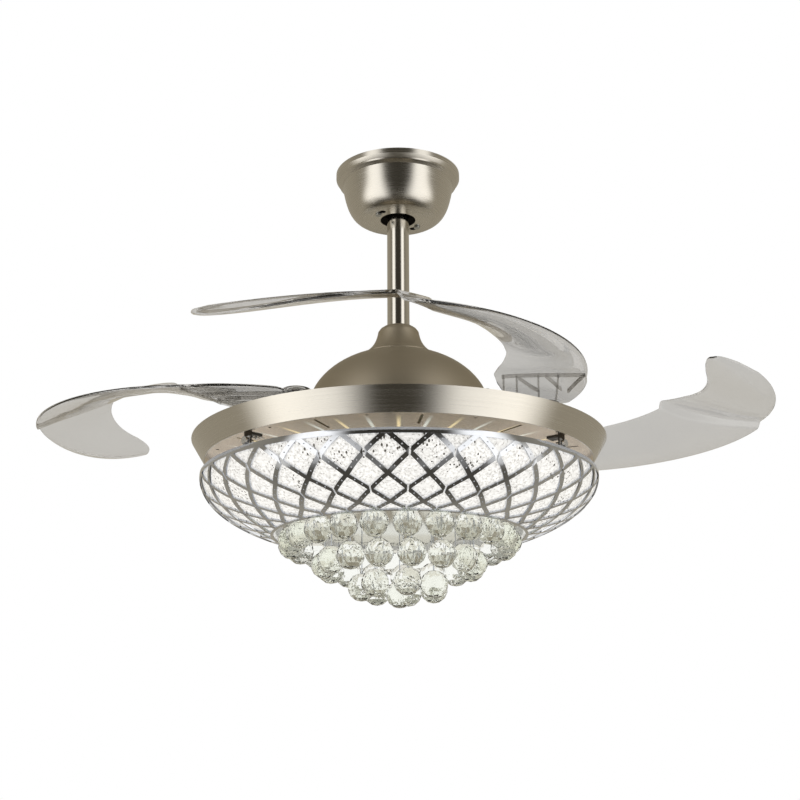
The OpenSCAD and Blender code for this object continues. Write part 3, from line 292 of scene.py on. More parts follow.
def bubble_acrylic(glow):
    """Cast acrylic full of small bubbles, with a painted glow that stands for the lamp's light from inside: a
    bright wall with a fine grey sparkle, and dark flecks where a bubble turns the light away."""
    material, tree, shader = new_material("bubble_acrylic")
    place = add_node(tree, "ShaderNodeTexCoord").outputs["Object"]
    # sparkle in cells of 2.4 mm with finer grains in them, coarser than the real bubbles so that it shows
    fine = add_node(tree, "ShaderNodeTexNoise", Vector=place, Scale=1000 / 2.381, Detail=3.0, Roughness=0.7)
    sparkle = add_node(tree, "ShaderNodeMapRange", in0=fine.outputs["Fac"], in1=0.36, in2=0.56, in3=0.0,
                       in4=1.0)
    pale = add_node(tree, "ShaderNodeMix", {"data_type": "RGBA"}, in0=sparkle.outputs[0],
                    in6=colour4(linear("#BFBEBC")), in7=colour4(linear("#FFFFFF")))
    # flecks 4 mm apart and drawn out upwards, crowded into drifts 40 mm across
    upright = add_node(tree, "ShaderNodeVectorMath", {"operation": "MULTIPLY"}, in0=place,
                       in1=(1.0, 1.0, 0.5))
    bubbles = add_node(tree, "ShaderNodeTexVoronoi", {"feature": "F1"}, Vector=upright.outputs[0],
                       Scale=1000 / 3.7037)
    drift = add_node(tree, "ShaderNodeTexNoise", Vector=place, Scale=1000 / 38.46, Detail=2.0)
    size = add_node(tree, "ShaderNodeMapRange", in0=drift.outputs["Fac"], in1=0.5, in2=0.66, in3=0.02,
                    in4=0.3)
    fleck = add_node(tree, "ShaderNodeMath", {"operation": "LESS_THAN"}, in0=bubbles.outputs["Distance"],
                     in1=size.outputs[0])
    tone = add_node(tree, "ShaderNodeMix", {"data_type": "RGBA"}, in0=fleck.outputs[0], in6=pale.outputs[2],
                    in7=colour4(linear("#55524C")))
    bump = add_node(tree, "ShaderNodeBump", Height=fine.outputs["Fac"], Strength=0.5, Distance=0.3 * MM)
    # painted glow: emission in the wall's own tone stands for the lamp's light shining through it
    fill_inputs(tree, shader, Base_Color=tone.outputs[2], Emission_Color=tone.outputs[2],
                Emission_Strength=glow, Roughness=0.2, IOR=1.49, Normal=bump.outputs[0])
    return material


def cool_and_warm(tree, angle, wave, cool, warm):
    """Cool light and warm light in alternate sectors about the axis, where a wave falls and rises."""
    turns = add_node(tree, "ShaderNodeMath", {"operation": "MULTIPLY"}, in0=angle, in1=SECTORS / 2)
    swing = add_node(tree, "ShaderNodeMath", {"operation": wave}, in0=turns.outputs[0])
    risen = add_node(tree, "ShaderNodeMath", {"operation": "GREATER_THAN"}, in0=swing.outputs[0], in1=0.0)
    tone = add_node(tree, "ShaderNodeMix", {"data_type": "RGBA"}, in0=risen.outputs[0],
                    in6=colour4(linear(cool)), in7=colour4(linear(warm)))
    return tone.outputs[2]


def glinting_plate(champagne):
    """The polished plate above the bowl, with painted radial glints all round, cool and warm in turn. They
    are painted highlights that glow in the plate's own surface and stand for the lamp's light, because too
    little of the chips' light gets there."""
    material = turned_metal("champagne_mirror", champagne, 0.16, across_mm=1.2, round_count=2, spread=0.05,
                            relief_mm=0.001, drawn=0.5)
    tree = material.node_tree
    place = add_node(tree, "ShaderNodeTexCoord").outputs["Object"]
    angle = axis_angle(tree, place)
    turns = add_node(tree, "ShaderNodeMath", {"operation": "MULTIPLY"}, in0=angle, in1=SECTORS)
    wave = add_node(tree, "ShaderNodeMath", {"operation": "COSINE"}, in0=turns.outputs[0])
    # painted glints: a narrow bright band at each crest of the wave
    glint = add_node(tree, "ShaderNodeMapRange", {"interpolation_type": "SMOOTHSTEP"}, in0=wave.outputs[0],
                     in1=0.84, in2=1.0, in3=0.0, in4=0.5)
    # they are full up to 180 mm from the axis and gone at 220 mm, above the bowl's rim
    near = add_node(tree, "ShaderNodeMapRange", {"interpolation_type": "SMOOTHSTEP"},
                    in0=axis_distance(tree, place), in1=180 * MM, in2=220 * MM, in3=1.0, in4=0.0)
    shine = add_node(tree, "ShaderNodeMath", {"operation": "MULTIPLY"}, in0=glint.outputs[0],
                     in1=near.outputs[0])
    fill_inputs(tree, tree.nodes["Principled BSDF"], Emission_Strength=shine.outputs[0],
                Emission_Color=cool_and_warm(tree, angle, "COSINE", "#D9E6E2", "#FFE9A8"))
    return material


def cut_crystal(tint):
    """Lead crystal, cut and polished: clear, with flat facets that each catch another light."""
    material, tree, shader = new_material("cut_crystal")
    place = add_node(tree, "ShaderNodeTexCoord").outputs["Object"]
    # faint cords in the glass, 20 mm long
    cords = add_node(tree, "ShaderNodeTexNoise", Vector=place, Scale=1000 / 20, Detail=1.0)
    mottle(tree, shader, cords.outputs["Fac"], tint, 0.97, 1)
    # an index below crystal's own leaves less dark speckle, and a trace of painted glow lifts it too
    fill_inputs(tree, shader, Transmission_Weight=1.0, Roughness=0.0, IOR=1.36,
                Emission_Color=colour4(linear("#F8F6EE")), Emission_Strength=0.006)
    return material


def led_chip():
    """The resin over the light emitting chips: bright, cool and warm in sectors round the board."""
    material, tree, shader = new_material("led_phosphor")
    place = add_node(tree, "ShaderNodeTexCoord").outputs["Object"]
    tone = cool_and_warm(tree, axis_angle(tree, place), "SINE", "#EAF2FF", "#FFE3B0")
    fill_inputs(tree, shader, Base_Color=tone, Emission_Color=tone, Emission_Strength=4.0, Roughness=0.4)
    return material


# Metals that pieces of several operators share, by name
shared_metals = {}


def shared_metal(name, colour, roughness, spread):
    """A plain metal, made when it is first asked for."""
    if name not in shared_metals:
        shared_metals[name] = plain_metal(name, linear(colour), roughness, spread=spread)
    return shared_metals[name]


def chrome_plate():
    """Chromed steel, polished before plating: a clear mirror."""
    return shared_metal("chrome_plate", "#CDD0D6", 0.08, 0.04)


def bright_steel():
    """Steel turned or drawn bright: a soft silver shine."""
    return shared_metal("bright_steel", "#C9C7C2", 0.22, 0.12)


# ---- Mesh building ----

def add_object(name, data):
    """Makes an object and puts it into the scene."""
    thing = bpy.data.objects.new(name, data)
    bpy.context.scene.collection.objects.link(thing)
    return thing


def make_piece(name, points, faces, material, body, replaced, crease=35):
    """Makes a mesh piece from points in millimetres, measured from the ring's top edge."""
    mesh = bpy.data.meshes.new(name)
    mesh.from_pydata([(x * MM, y * MM, (z + LAMP_Z) * MM) for x, y, z in points], [], faces)
    mesh.validate()
    shell = bmesh.new()
    shell.from_mesh(mesh)
    bmesh.ops.recalc_face_normals(shell, faces=shell.faces)
    shell.to_mesh(mesh)
    shell.free()
    mesh.polygons.foreach_set("use_smooth", [crease > 0] * len(mesh.polygons))
    if crease > 0:
        mesh.set_sharp_from_angle(angle=math.radians(crease))
    mesh.materials.append(material)
    piece = add_object(name, mesh)
    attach(piece, body)
    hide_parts(replaced)


def turned_about_axis(points, degrees):
    """Points turned about the fan's axis."""
    cos, sin = math.cos(math.radians(degrees)), math.sin(math.radians(degrees))
    return [(x * cos - y * sin, x * sin + y * cos, z) for x, y, z in points]


def loft(first, second):
    """Faces between two closed rows of points, given by their numbers."""
    count = len(first)
    return [(first[k], first[(k + 1) % count], second[(k + 1) % count], second[k]) for k in range(count)]


def lathe(profile, steps):
    """Points and faces of a closed outline turned round the axis."""
    points = []
    for i in range(steps):
        a = 2 * math.pi * i / steps
        points += [(r * math.cos(a), r * math.sin(a), z) for r, z in profile]
    n = len(profile)
    faces = []
    for i in range(steps):
        here, there = i * n, (i + 1) % steps * n
        for k in range(n):
            m = (k + 1) % n
            faces.append((here + k, there + k, there + m, here + m))
    return points, faces


def join_meshes(parts):
    """One mesh of several, each given as its points and faces."""
    points, faces = [], []
    for some_points, some_faces in parts:
        start = len(points)
        points += [tuple(p) for p in some_points]
        faces += [tuple(start + k for k in f) for f in some_faces]
    return points, faces


def finish_nodes(material, *nodes):
    """Gives CAD nodes a material, and rounds the shading of their curved faces."""
    for name in nodes:
        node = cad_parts[name]
        node.data.materials.clear()
        node.data.materials.append(material)
        weld = node.modifiers.new("weld", "WELD")
        weld.merge_threshold = 0.002 * MM
        smooth = node.modifiers.new("smooth", "NODES")
        smooth.node_group = shade_group()


def shade_group():
    """Geometry nodes that shade smooth and keep edges over 32 degrees sharp."""
    group = bpy.data.node_groups.get("smooth_by_angle")
    if group:
        return group
    group = bpy.data.node_groups.new("smooth_by_angle", "GeometryNodeTree")
    group.interface.new_socket("Geometry", in_out="INPUT", socket_type="NodeSocketGeometry")
    group.interface.new_socket("Geometry", in_out="OUTPUT", socket_type="NodeSocketGeometry")
    start = add_node(group, "NodeGroupInput")
    faces = add_node(group, "GeometryNodeSetShadeSmooth", {"domain": "FACE"}, Geometry=start.outputs[0])
    angle = add_node(group, "GeometryNodeInputMeshEdgeAngle")
    flat = add_node(group, "FunctionNodeCompare", {"data_type": "FLOAT", "operation": "LESS_EQUAL"},
                    in0=angle.outputs["Unsigned Angle"], in1=math.radians(32))
    edges = add_node(group, "GeometryNodeSetShadeSmooth", {"domain": "EDGE"}, Geometry=faces.outputs[0],
                     Shade_Smooth=flat.outputs[0])
    add_node(group, "NodeGroupOutput", Geometry=edges.outputs[0])
    return group


# ---- Blades ----
# The outline is that of the part: polar curves about the blade's own centre. Lengths are millimetres,
# and angles are degrees unless a value says otherwise.

BLADE_CENTRE = (200.0, -10.0)
PIVOT_R = 194.0
PIVOT_TURN = math.radians(56.15)
PIVOT = (PIVOT_R * math.cos(PIVOT_TURN), PIVOT_R * math.sin(PIVOT_TURN))
# The sheet's height at its outer edge, its rise per degree along the root, and its slope inwards
EDGE_Z = 14.5
TWIST = 0.075
SLOPE = 0.355
# How far the tip's sheet lies above the root's
RISE = 7.0
# The boss round the pivot pin: heights of its foot and top, radii of its outside, the pin's hole,
# the return spring's pocket and the recess for the pin's head, and height of the recess's floor
GEAR_TOP = 9.8
BOSS_TOP = 19.2
BOSS_R = 15.0
PIN_HOLE_R = 5.05
POCKET_R = 8.5
HEAD_R = 9.3
HEAD_Z = 15.9
# Arcs of the outline: x and y of the centre, and radius
ROOT_OUTER_ARC = (6, -17, 219.3)
ROOT_INNER_ARC = (-9, -16, 136.6)
TIP_OUTER_ARC = (-62, -17, 287.6)
TIP_INNER_ARC = (-30, -44, 176.6)
# The root's inner edge runs straight from this angle on: its distance and the turn of its normal
STRAIGHT_FROM = 93
STRAIGHT_R = 102.4
STRAIGHT_TURN = 73.4
# Tables of angle and value: where the root's edges leave their arcs, and its slope and sag
OUTER_FLARE = ((85, 0), (92, 3), (110, 6))
INNER_FLARE = ((60, -0.5), (66, 1), (70, 4), (74, 5), (78, 1), (82, -4), (86, -8), (91, -11), (93, -12))
SLOPE_SHARE = ((60, 1), (66, 0.98), (70, 0.885), (74, 0.72), (78, 0.52), (82, 0.4), (91, 0.31), (95, 0.245),
               (100, 0.15))
SAG = ((5, 12), (25, 28), (60, 32), (75, 16), (85, 0))
# Angle from which the tip's two edges draw together, how many degrees they take, and how far they move
TIP_FROM, TIP_SPAN = 4, 62
TIP_OUTER_IN, TIP_INNER_OUT = 36, 24.7
# Angles where the step from the root's sheet to the tip's starts and ends, at the inner and outer edge
STEP_START, STEP_END = (23, 5), (18, 1.5)
# Shares of the rows along the blade that lie on the root's sheet and on the step
ROOT_SHARE, STEP_SHARE = 0.56, 0.09
# Distance of the sheet's ends from the blade's centre, which turns an inset there into an angle
END_R = 170


def curve_through(x, table):
    """Smooth curve through a table's points, level beyond its ends."""
    if x <= table[0][0]:
        return table[0][1]
    if x >= table[-1][0]:
        return table[-1][1]
    k = max(i for i in range(len(table) - 1) if table[i][0] <= x)

    def slope(i):
        """A point's slope, level at a peak, a dip or an end."""
        if i == 0 or i == len(table) - 1:
            return 0.0
        (x0, y0), (x1, y1), (x2, y2) = table[i - 1:i + 2]
        before, after = (y1 - y0) / (x1 - x0), (y2 - y1) / (x2 - x1)
        return 0.0 if before * after <= 0 else 2 * before * after / (before + after)

    (xa, ya), (xb, yb) = table[k], table[k + 1]
    w = xb - xa
    t = (x - xa) / w
    return ((2 * t ** 3 - 3 * t ** 2 + 1) * ya + (t ** 3 - 2 * t ** 2 + t) * w * slope(k)
            + (3 * t ** 2 - 2 * t ** 3) * yb + (t ** 3 - t ** 2) * w * slope(k + 1))


def reach(arc, a):
    """Distance from the blade's centre to an arc, in the direction a in radians."""
    cx, cy, r = arc
    along = cx * math.cos(a) + cy * math.sin(a)
    aside = cy * math.cos(a) - cx * math.sin(a)
    return along + math.sqrt(r * r - aside * aside)


def tip_share(deg):
    """How far the tip's edges have drawn together at an angle: 0 at first, and nearly 1 at the tip."""
    return max(0, TIP_FROM - deg) / TIP_SPAN


def outer_edge(deg, tip):
    """Distance of the outer edge from the blade's centre, on the tip's sheet or on the root's."""
    a = math.radians(deg)
    if tip:
        return reach(TIP_OUTER_ARC, a) - TIP_OUTER_IN * tip_share(deg) ** 6
    return reach(ROOT_OUTER_ARC, a) + curve_through(deg, OUTER_FLARE)


def inner_edge(deg, tip):
    """Distance of the inner edge from the blade's centre, on the tip's sheet or on the root's."""
    a = math.radians(deg)
    if tip:
        # the edge swells inwards beside the step
        swell = 9 * max(0, (deg + 12) / 30) ** 2
        return reach(TIP_INNER_ARC, a) - swell + TIP_INNER_OUT * tip_share(deg) ** 6
    if deg < STRAIGHT_FROM:
        return reach(ROOT_INNER_ARC, a) + curve_through(deg, INNER_FLARE)
    return STRAIGHT_R / math.cos(math.radians(deg - STRAIGHT_TURN))


def root_end(v):
    """Angle of the root's end, which is drawn forward at the outer edge."""
    return 124 - 13 * v ** 3


def tip_end(v):
    """Angle of the tip's end, rounded off at both corners."""
    aside = abs(2 * v - 1) ** 1.8
    return -54.4 - 2.1 * (v - 0.5) + mix(10, 13, v) * (1 - math.sqrt(max(0, 1 - aside * aside)))


def sheet_height(rho, deg, tip):
    """Height of the sheet's middle at a distance and angle from the blade's centre."""
    out = outer_edge(deg, tip)
    t = (out - rho) / (out - inner_edge(deg, tip))
    if tip:
        # the tip's sheet dips a little on its way out and lifts at its end
        s = tip_share(deg)
        slope = mix(0.33, 0.36, max(0, (18 - deg) / 72))
        return (EDGE_Z + TWIST * 80 + RISE + 0.02 * (1.5 - deg) - 10.5 * s + 10 * s * s + 22.5 * s ** 5
                - 10 * t * (1 - t) + slope * max(0, 225 - rho))
    return (EDGE_Z + TWIST * max(0, 85 - deg) + SLOPE * curve_through(deg, SLOPE_SHARE) * (out - rho)
            - curve_through(deg, SAG) * t * (1 - t))


def sheet_point(u, v, inset):
    """A point on the sheet's middle: u from the root to the tip, v from the inner to the outer edge,
    and inset how far the border is drawn in."""
    step_start, step_end = mix(*STEP_START, v), mix(*STEP_END, v)
    pull = math.degrees(inset / END_R)
    if u <= ROOT_SHARE:
        deg = mix(root_end(v) - pull, step_start, u / ROOT_SHARE)
        part = 0.0
    elif u <= ROOT_SHARE + STEP_SHARE:
        k = (u - ROOT_SHARE) / STEP_SHARE
        deg = mix(step_start, step_end, k)
        part = smooth_step(1.6 * k - 0.3)
    else:
        deg = mix(step_end, tip_end(v) + pull, (u - ROOT_SHARE - STEP_SHARE) / (1 - ROOT_SHARE - STEP_SHARE))
        part = 1.0
    found = []
    for tip in (False, True):
        low, high = inner_edge(deg, tip) + inset, outer_edge(deg, tip) - inset
        rho = mix(low, high, v)
        found.append((rho, sheet_height(rho, deg, tip)))
    rho = mix(found[0][0], found[1][0], part)
    z = mix(found[0][1], found[1][1], part)
    a = math.radians(deg)
    return Vector((BLADE_CENTRE[0] + rho * math.cos(a), BLADE_CENTRE[1] + rho * math.sin(a), z))


def sheet_mesh(along, across, thick):
    """A sheet with a rounded rim: two faces and three rows round the border."""
    half = thick / 2
    # how far the faces' borders and the rim's middle row lie inside the outline
    face_inset, rim_inset = 1.3, 0.15

    def normal(u, v):
        """The sheet's upward direction, from points a little way to each side."""
        e = 0.004
        du = sheet_point(min(1, u + e), v, face_inset) - sheet_point(max(0, u - e), v, face_inset)
        dv = sheet_point(u, min(1, v + e), face_inset) - sheet_point(u, max(0, v - e), face_inset)
        n = dv.cross(du).normalized()
        return n if n.z > 0 else -n

    points, faces = [], []
    for side in (1, -1):
        for i in range(along + 1):
            for j in range(across + 1):
                u, v = i / along, j / across
                points.append(sheet_point(u, v, face_inset) + normal(u, v) * side * half)
    layer = (along + 1) * (across + 1)

    def at(i, j):
        """Number of a point of the upper face."""
        return i * (across + 1) + j

    for i in range(along):
        for j in range(across):
            top = (at(i, j), at(i, j + 1), at(i + 1, j + 1), at(i + 1, j))
            faces.append(top)
            faces.append(tuple(layer + k for k in reversed(top)))
    border = [(i, 0) for i in range(along)] + [(along, j) for j in range(across)]
    border += [(i, across) for i in range(along, 0, -1)] + [(0, j) for j in range(across, 0, -1)]
    rows = [[at(i, j) for i, j in border]]
    for angle in (45, 0, -45):
        row = []
        inset = rim_inset + (face_inset - rim_inset) * (1 - math.cos(math.radians(angle)))
        for i, j in border:
            row.append(len(points))
            u, v = i / along, j / across
            points.append(sheet_point(u, v, inset) + normal(u, v) * half * math.sin(math.radians(angle)))
        rows.append(row)
    rows.append([layer + at(i, j) for i, j in border])
    for upper, lower in zip(rows, rows[1:]):
        faces += loft(upper, lower)
    return points, faces


# The two ends of each rib under the root
RIBS = [((195.4, 107), (227, 189)), ((195.5, 108.5), (165, 111)), ((197.3, 122), (137, 127)),
        ((205, 143.6), (122, 152)), ((213.3, 163), (120, 170)), ((195.4, 124.6), (169, 146.5)),
        ((208.8, 151), (175.6, 170)), ((226, 188), (170, 178))]
RIB_WIDTH = 2.0
RIB_DEPTH = 4.0
# Half the sheet's thickness, from its middle to its underside
UNDERSIDE = 1.5


def rib_mesh(a, b):
    """A moulded rib under the sheet, rounded along its lower edge, whose top reaches into the sheet."""
    a, b = Vector(a), Vector(b)
    aside = Vector((-(b - a).y, (b - a).x)).normalized()
    steps = 10
    side, top = RIB_WIDTH / 2, 0.8
    low, corner = top - RIB_DEPTH, top - RIB_DEPTH + 0.4
    section = [(-side, top), (-side, corner), (-side / 2, low), (side / 2, low), (side, corner), (side, top)]
    points, faces = [], []
    for i in range(steps + 1):
        p = a.lerp(b, i / steps)
        dx, dy = p.x - BLADE_CENTRE[0], p.y - BLADE_CENTRE[1]
        z = sheet_height(math.hypot(dx, dy), math.degrees(math.atan2(dy, dx)), False) - UNDERSIDE
        points += [(p.x + aside.x * s, p.y + aside.y * s, z + h) for s, h in section]
    n = len(section)
    for i in range(steps):
        faces += loft(range(i * n, (i + 1) * n), range((i + 1) * n, (i + 2) * n))
    faces.append(tuple(range(n - 1, -1, -1)))
    faces.append(tuple(steps * n + k for k in range(n)))
    return points, faces


def boss_mesh():
    """The turned boss around the pivot pin, hollowed for the pin's head and the return spring."""
    floor_top = GEAR_TOP + 2
    profile = [(PIN_HOLE_R, GEAR_TOP), (BOSS_R - 0.6, GEAR_TOP), (BOSS_R, GEAR_TOP + 0.6),
               (BOSS_R, BOSS_TOP - 1), (BOSS_R - 0.4, BOSS_TOP - 0.3), (BOSS_R - 1.2, BOSS_TOP),
               (HEAD_R + 0.6, BOSS_TOP), (HEAD_R, BOSS_TOP - 0.6), (HEAD_R, HEAD_Z), (POCKET_R, HEAD_Z),
               (POCKET_R, floor_top), (PIN_HOLE_R, floor_top)]
    points, faces = lathe(profile, 64)
    return [(x + PIVOT[0], y + PIVOT[1], z) for x, y, z in points], faces


class FAN_OT_blades(bpy.types.Operator):
    """Builds the four clear blades with their ribs and bosses"""
    bl_idname = "fan.blades"
    bl_label = "Blades"

    def execute(self, context):
        settings = context.scene.fan_blades
        acrylic = smoked_acrylic(settings.tint)
        parts = [sheet_mesh(settings.along, settings.across, settings.thickness / MM), boss_mesh()]
        parts += [rib_mesh(a, b) for a, b in RIBS]
        points, faces = join_meshes(parts)
        for k in range(4):
            name = "blade_%d" % (k + 1)
            make_piece("clear_" + name, turned_about_axis(points, 90 * k), faces, acrylic,
                       "blade_arm_%d" % (k + 1), name)
        return {"FINISHED"}


# ---- Bowl and lattice ----

# The lattice's outside: radius of its widest circle, how far it reaches below it, and its height
BOWL_R = 229.2
BOWL_DEPTH = 82.2
BOWL_Z = -45.0
STRIP_T = 1.6
# Angles below the widest circle: the rim's band, the band round the opening, and the crossings
BAND_TOP, BAND_LOW = -2.5, 1.7
FOOT_TOP, FOOT_LOW = 50.0, 51.0
ROWS = [0, 13.8, 27.3, 36.6, 44.8, 49.2]
# Turn of the first column of diamonds from the part's X, in degrees
LATTICE_TURN = -90 - 3.15


def bowl_point(deg, depth):
    """Radius and height at an angle below the widest circle, some depth inside the lattice's face."""
    a = math.radians(deg)
    return ((BOWL_R - depth) * math.cos(a), BOWL_Z - (BOWL_DEPTH - depth) * math.sin(a))


def on_bowl(turn, deg, depth):
    """The same as a point, at a turn about the axis."""
    r, z = bowl_point(deg, depth)
    a = math.radians(turn + LATTICE_TURN)
    return (r * math.cos(a), r * math.sin(a), z)


def band_mesh(deg_a, deg_b, outside, inside, steps, rows):
    """A band round the bowl between two angles and two depths."""
    profile = [bowl_point(mix(deg_a, deg_b, i / rows), outside) for i in range(rows + 1)]
    profile += [bowl_point(mix(deg_b, deg_a, i / rows), inside) for i in range(rows + 1)]
    return lathe(profile, steps)


def strip_mesh(corners, hole_r):
    """One strip between four (turn, angle) corners: outer start, outer end, inner end, inner start.
    It is bent to the bowl and has two small holes, in its second and fourth of five cells."""
    outer_a, outer_b, inner_b, inner_a = corners

    def place(s, w, depth):
        """The point at a share s along the strip and a share w across it."""
        outer = [mix(outer_a[k], outer_b[k], s) for k in (0, 1)]
        inner = [mix(inner_a[k], inner_b[k], s) for k in (0, 1)]
        return on_bowl(mix(outer[0], inner[0], w), mix(outer[1], inner[1], w), depth)

    length = (Vector(place(1, 0.5, 0)) - Vector(place(0, 0.5, 0))).length
    width = (Vector(place(0.5, 1, 0)) - Vector(place(0.5, 0, 0))).length
    cuts = [0, 0.22, 0.40, 0.60, 0.78, 1]
    spots = []

    def put(s, w):
        """Number of the spot there, which is added the first time."""
        if (s, w) not in spots:
            spots.append((s, w))
        return spots.index((s, w))

    skin, holes = [], []
    for c in range(5):
        s0, s1 = cuts[c], cuts[c + 1]
        if c % 2 == 0:
            # a plain cell shares the mid points of the holed cells beside it
            loop = [put(s0, 0), put(s1, 0)] + ([put(s1, 0.5)] if c < 4 else [])
            loop += [put(s1, 1), put(s0, 1)] + ([put(s0, 0.5)] if c > 0 else [])
            skin.append(loop)
            continue
        middle = (s0 + s1) / 2
        outline = [put(s, w) for s, w in ((s0, 0), (middle, 0), (s1, 0), (s1, 0.5), (s1, 1), (middle, 1),
                                          (s0, 1), (s0, 0.5))]
        turns = [math.radians(225 + 45 * k) for k in range(8)]
        hole = [put(middle + hole_r * math.cos(a) / length, 0.5 + hole_r * math.sin(a) / width)
                for a in turns]
        skin += loft(outline, hole)
        holes.append(hole)
    size = len(spots)
    points = [place(s, w, depth) for depth in (0, STRIP_T) for s, w in spots]
    faces = [tuple(f) for f in skin] + [tuple(size + k for k in reversed(f)) for f in skin]
    side = [0] + [(cuts[1] + cuts[2]) / 2, (cuts[3] + cuts[4]) / 2] + cuts[1:]
    walls = []
    for w in (0, 1):
        path = [put(s, w) for s in sorted(side)]
        walls += zip(path, path[1:]) if w == 0 else zip(path[1:], path)
    for hole in holes:
        walls += [(hole[(k + 1) % 8], hole[k]) for k in range(8)]
    walls += [(put(1, 0), put(1, 1)), (put(0, 1), put(0, 0))]
    faces += [(b, a, size + a, size + b) for a, b in walls]
    return points, faces


def patch_mesh(loop):
    """A flat node of the lattice: a small polygon of (turn, angle) corners, as thick as the strips."""
    n = len(loop)
    points = [on_bowl(turn, deg, depth) for depth in (0, STRIP_T) for turn, deg in loop]
    faces = [tuple(range(n)), tuple(range(2 * n - 1, n - 1, -1))]
    faces += [((k + 1) % n, k, n + k, n + (k + 1) % n) for k in range(n)]
    return points, faces


def lattice_parts(columns, strip_mm, hole_r):
    """Every column is a chain of diamonds that hardly touches the next one. Small patches fill the
    crossings and the blunt side corners between the strips."""
    half = 180 / columns
    # share of half a column that stays open beside each blunt corner
    gap = 0.045
    parts, blunt, crossings = [], {}, {}
    for c, hand, j in itertools.product(range(columns), (1, -1), range(5)):
        middle = 2 * c * half
        wide, narrow = (j, j + 1) if j % 2 == 0 else (j + 1, j)
        across = [bowl_point(ROWS[row], 0)[0] * math.radians(half) for row in (wide, narrow)]
        run = math.dist(bowl_point(ROWS[j], 0), bowl_point(ROWS[j + 1], 0))
        aside, aside_end = [strip_mm / 2 * math.hypot(a, run) / run / a for a in across]
        drop = strip_mm / 2 * math.hypot(across[0], run) / across[0] / run
        step = ROWS[narrow] - ROWS[wide]
        inner_start = (middle, ROWS[wide] + drop * step)
        inner_end = (middle + hand * half * (1 - aside_end), ROWS[narrow])
        outer_start = (middle + hand * half * aside, ROWS[wide])
        share = (1 - gap - aside) / (1 - aside_end)
        outer_end = (middle + hand * half * (1 - gap), ROWS[wide] + share * (1 - drop) * step)
        if wide == 0:
            lift = (BAND_LOW - ROWS[0]) / (outer_end[1] - ROWS[0])
            outer_start = (mix(outer_start[0], outer_end[0], lift), BAND_LOW)
        downward = 1 if narrow > wide else -1
        corners = (outer_start, outer_end, inner_end, inner_start)
        if hand * downward < 0:
            corners = (inner_start, inner_end, outer_end, outer_start)
        parts.append(strip_mesh(corners, hole_r))
        blunt.setdefault((c, hand, narrow), []).append((outer_end, inner_end))
        crossings.setdefault((c, wide), {})[(hand, downward)] = (outer_start, inner_start)
    for (c, hand, row), ends in blunt.items():
        inner = ends[0][1]
        outers = sorted((e[0] for e in ends), key=lambda p: p[1])
        loop = outers + [inner]
        if len(outers) < 2:
            loop = [outers[0], (outers[0][0], FOOT_TOP), (inner[0], FOOT_TOP), inner]
        parts.append(patch_mesh(loop if hand > 0 else loop[::-1]))
    for spot in crossings.values():
        loop = [spot[(1, 1)][0], spot[(1, 1)][1], spot[(-1, 1)][0]]
        if (1, -1) in spot:
            loop.append(spot[(1, -1)][1])
        parts.append(patch_mesh(loop))
    return parts


class FAN_OT_bowl(bpy.types.Operator):
    """Builds the bubbly bowl that the lattice holds"""
    bl_idname = "fan.bowl"
    bl_label = "Bowl"

    def execute(self, context):
        # half a millimetre inside the lattice's strips
        gap, wall = STRIP_T + 0.5, 2.5
        points, faces = band_mesh(0, FOOT_LOW, gap, gap + wall, steps=180, rows=40)
        make_piece("bubble_bowl", points, faces, bubble_acrylic(context.scene.fan_bowl.glow), "hanger",
                   "bowl_shade")
        return {"FINISHED"}


class FAN_OT_lattice(bpy.types.Operator):
    """Builds the chromed lattice around the bowl, with its ears"""
    bl_idname = "fan.lattice"
    bl_label = "Lattice"

    def execute(self, context):
        settings = context.scene.fan_bowl
        parts = lattice_parts(settings.columns, settings.strip_width / MM, settings.hole_radius / MM)
        parts += [band_mesh(BAND_TOP, BAND_LOW, 0, STRIP_T, steps=240, rows=4),
                  band_mesh(FOOT_TOP, FOOT_LOW, 0, STRIP_T, steps=180, rows=1)]
        parts += [ear_mesh(turn) for turn in CLIP_TURNS]
        points, faces = join_meshes(parts)
        make_piece("chrome_lattice", points, faces, chrome_plate(), "hanger", "lattice_shade",
                   crease=25)
        return {"FINISHED"}


# Turn of each clip from the front, in degrees, as in the part
CLIP_TURNS = [-48, 54, 183]
# Underside of the plate and distance of the clips from the axis
PLATE_LOW = -24.6
CLIP_R = 214.7
# Thickness of the lattice's ears and half their width
EAR_T = 1.5
EAR_HALF = 6


def box_mesh(low, high, turn):
    """A plate with lightly broken edges, turned round the axis."""
    c = 0.35
    loops = []
    for z, inset in ((low[2], c), (low[2] + c, 0), (high[2] - c, 0), (high[2], c)):
        x0, x1, y0, y1 = low[0] + inset, high[0] - inset, low[1] + inset, high[1] - inset
        loops.append([(x0 + c, y0, z), (x1 - c, y0, z), (x1, y0 + c, z), (x1, y1 - c, z),
                      (x1 - c, y1, z), (x0 + c, y1, z), (x0, y1 - c, z), (x0, y0 + c, z)])
    points = [p for loop in loops for p in loop]
    faces = [tuple(range(7, -1, -1)), tuple(24 + k for k in range(8))]
    for i in (0, 8, 16):
        faces += loft(range(i, i + 8), range(i + 8, i + 16))
    return turned_about_axis(points, turn - 90), faces


def ear_mesh(turn):
    """An ear on the lattice's rim, which the clip's screw holds."""
    ear_r = CLIP_R + 1.65
    ear_z = BOWL_Z + 0.3
    upright = box_mesh((ear_r, -EAR_HALF, ear_z), (ear_r + EAR_T, EAR_HALF, PLATE_LOW - 3), turn)
    foot = box_mesh((ear_r, -EAR_HALF, ear_z), (BOWL_R - STRIP_T / 2, EAR_HALF, ear_z + EAR_T), turn)
    return join_meshes([upright, foot])


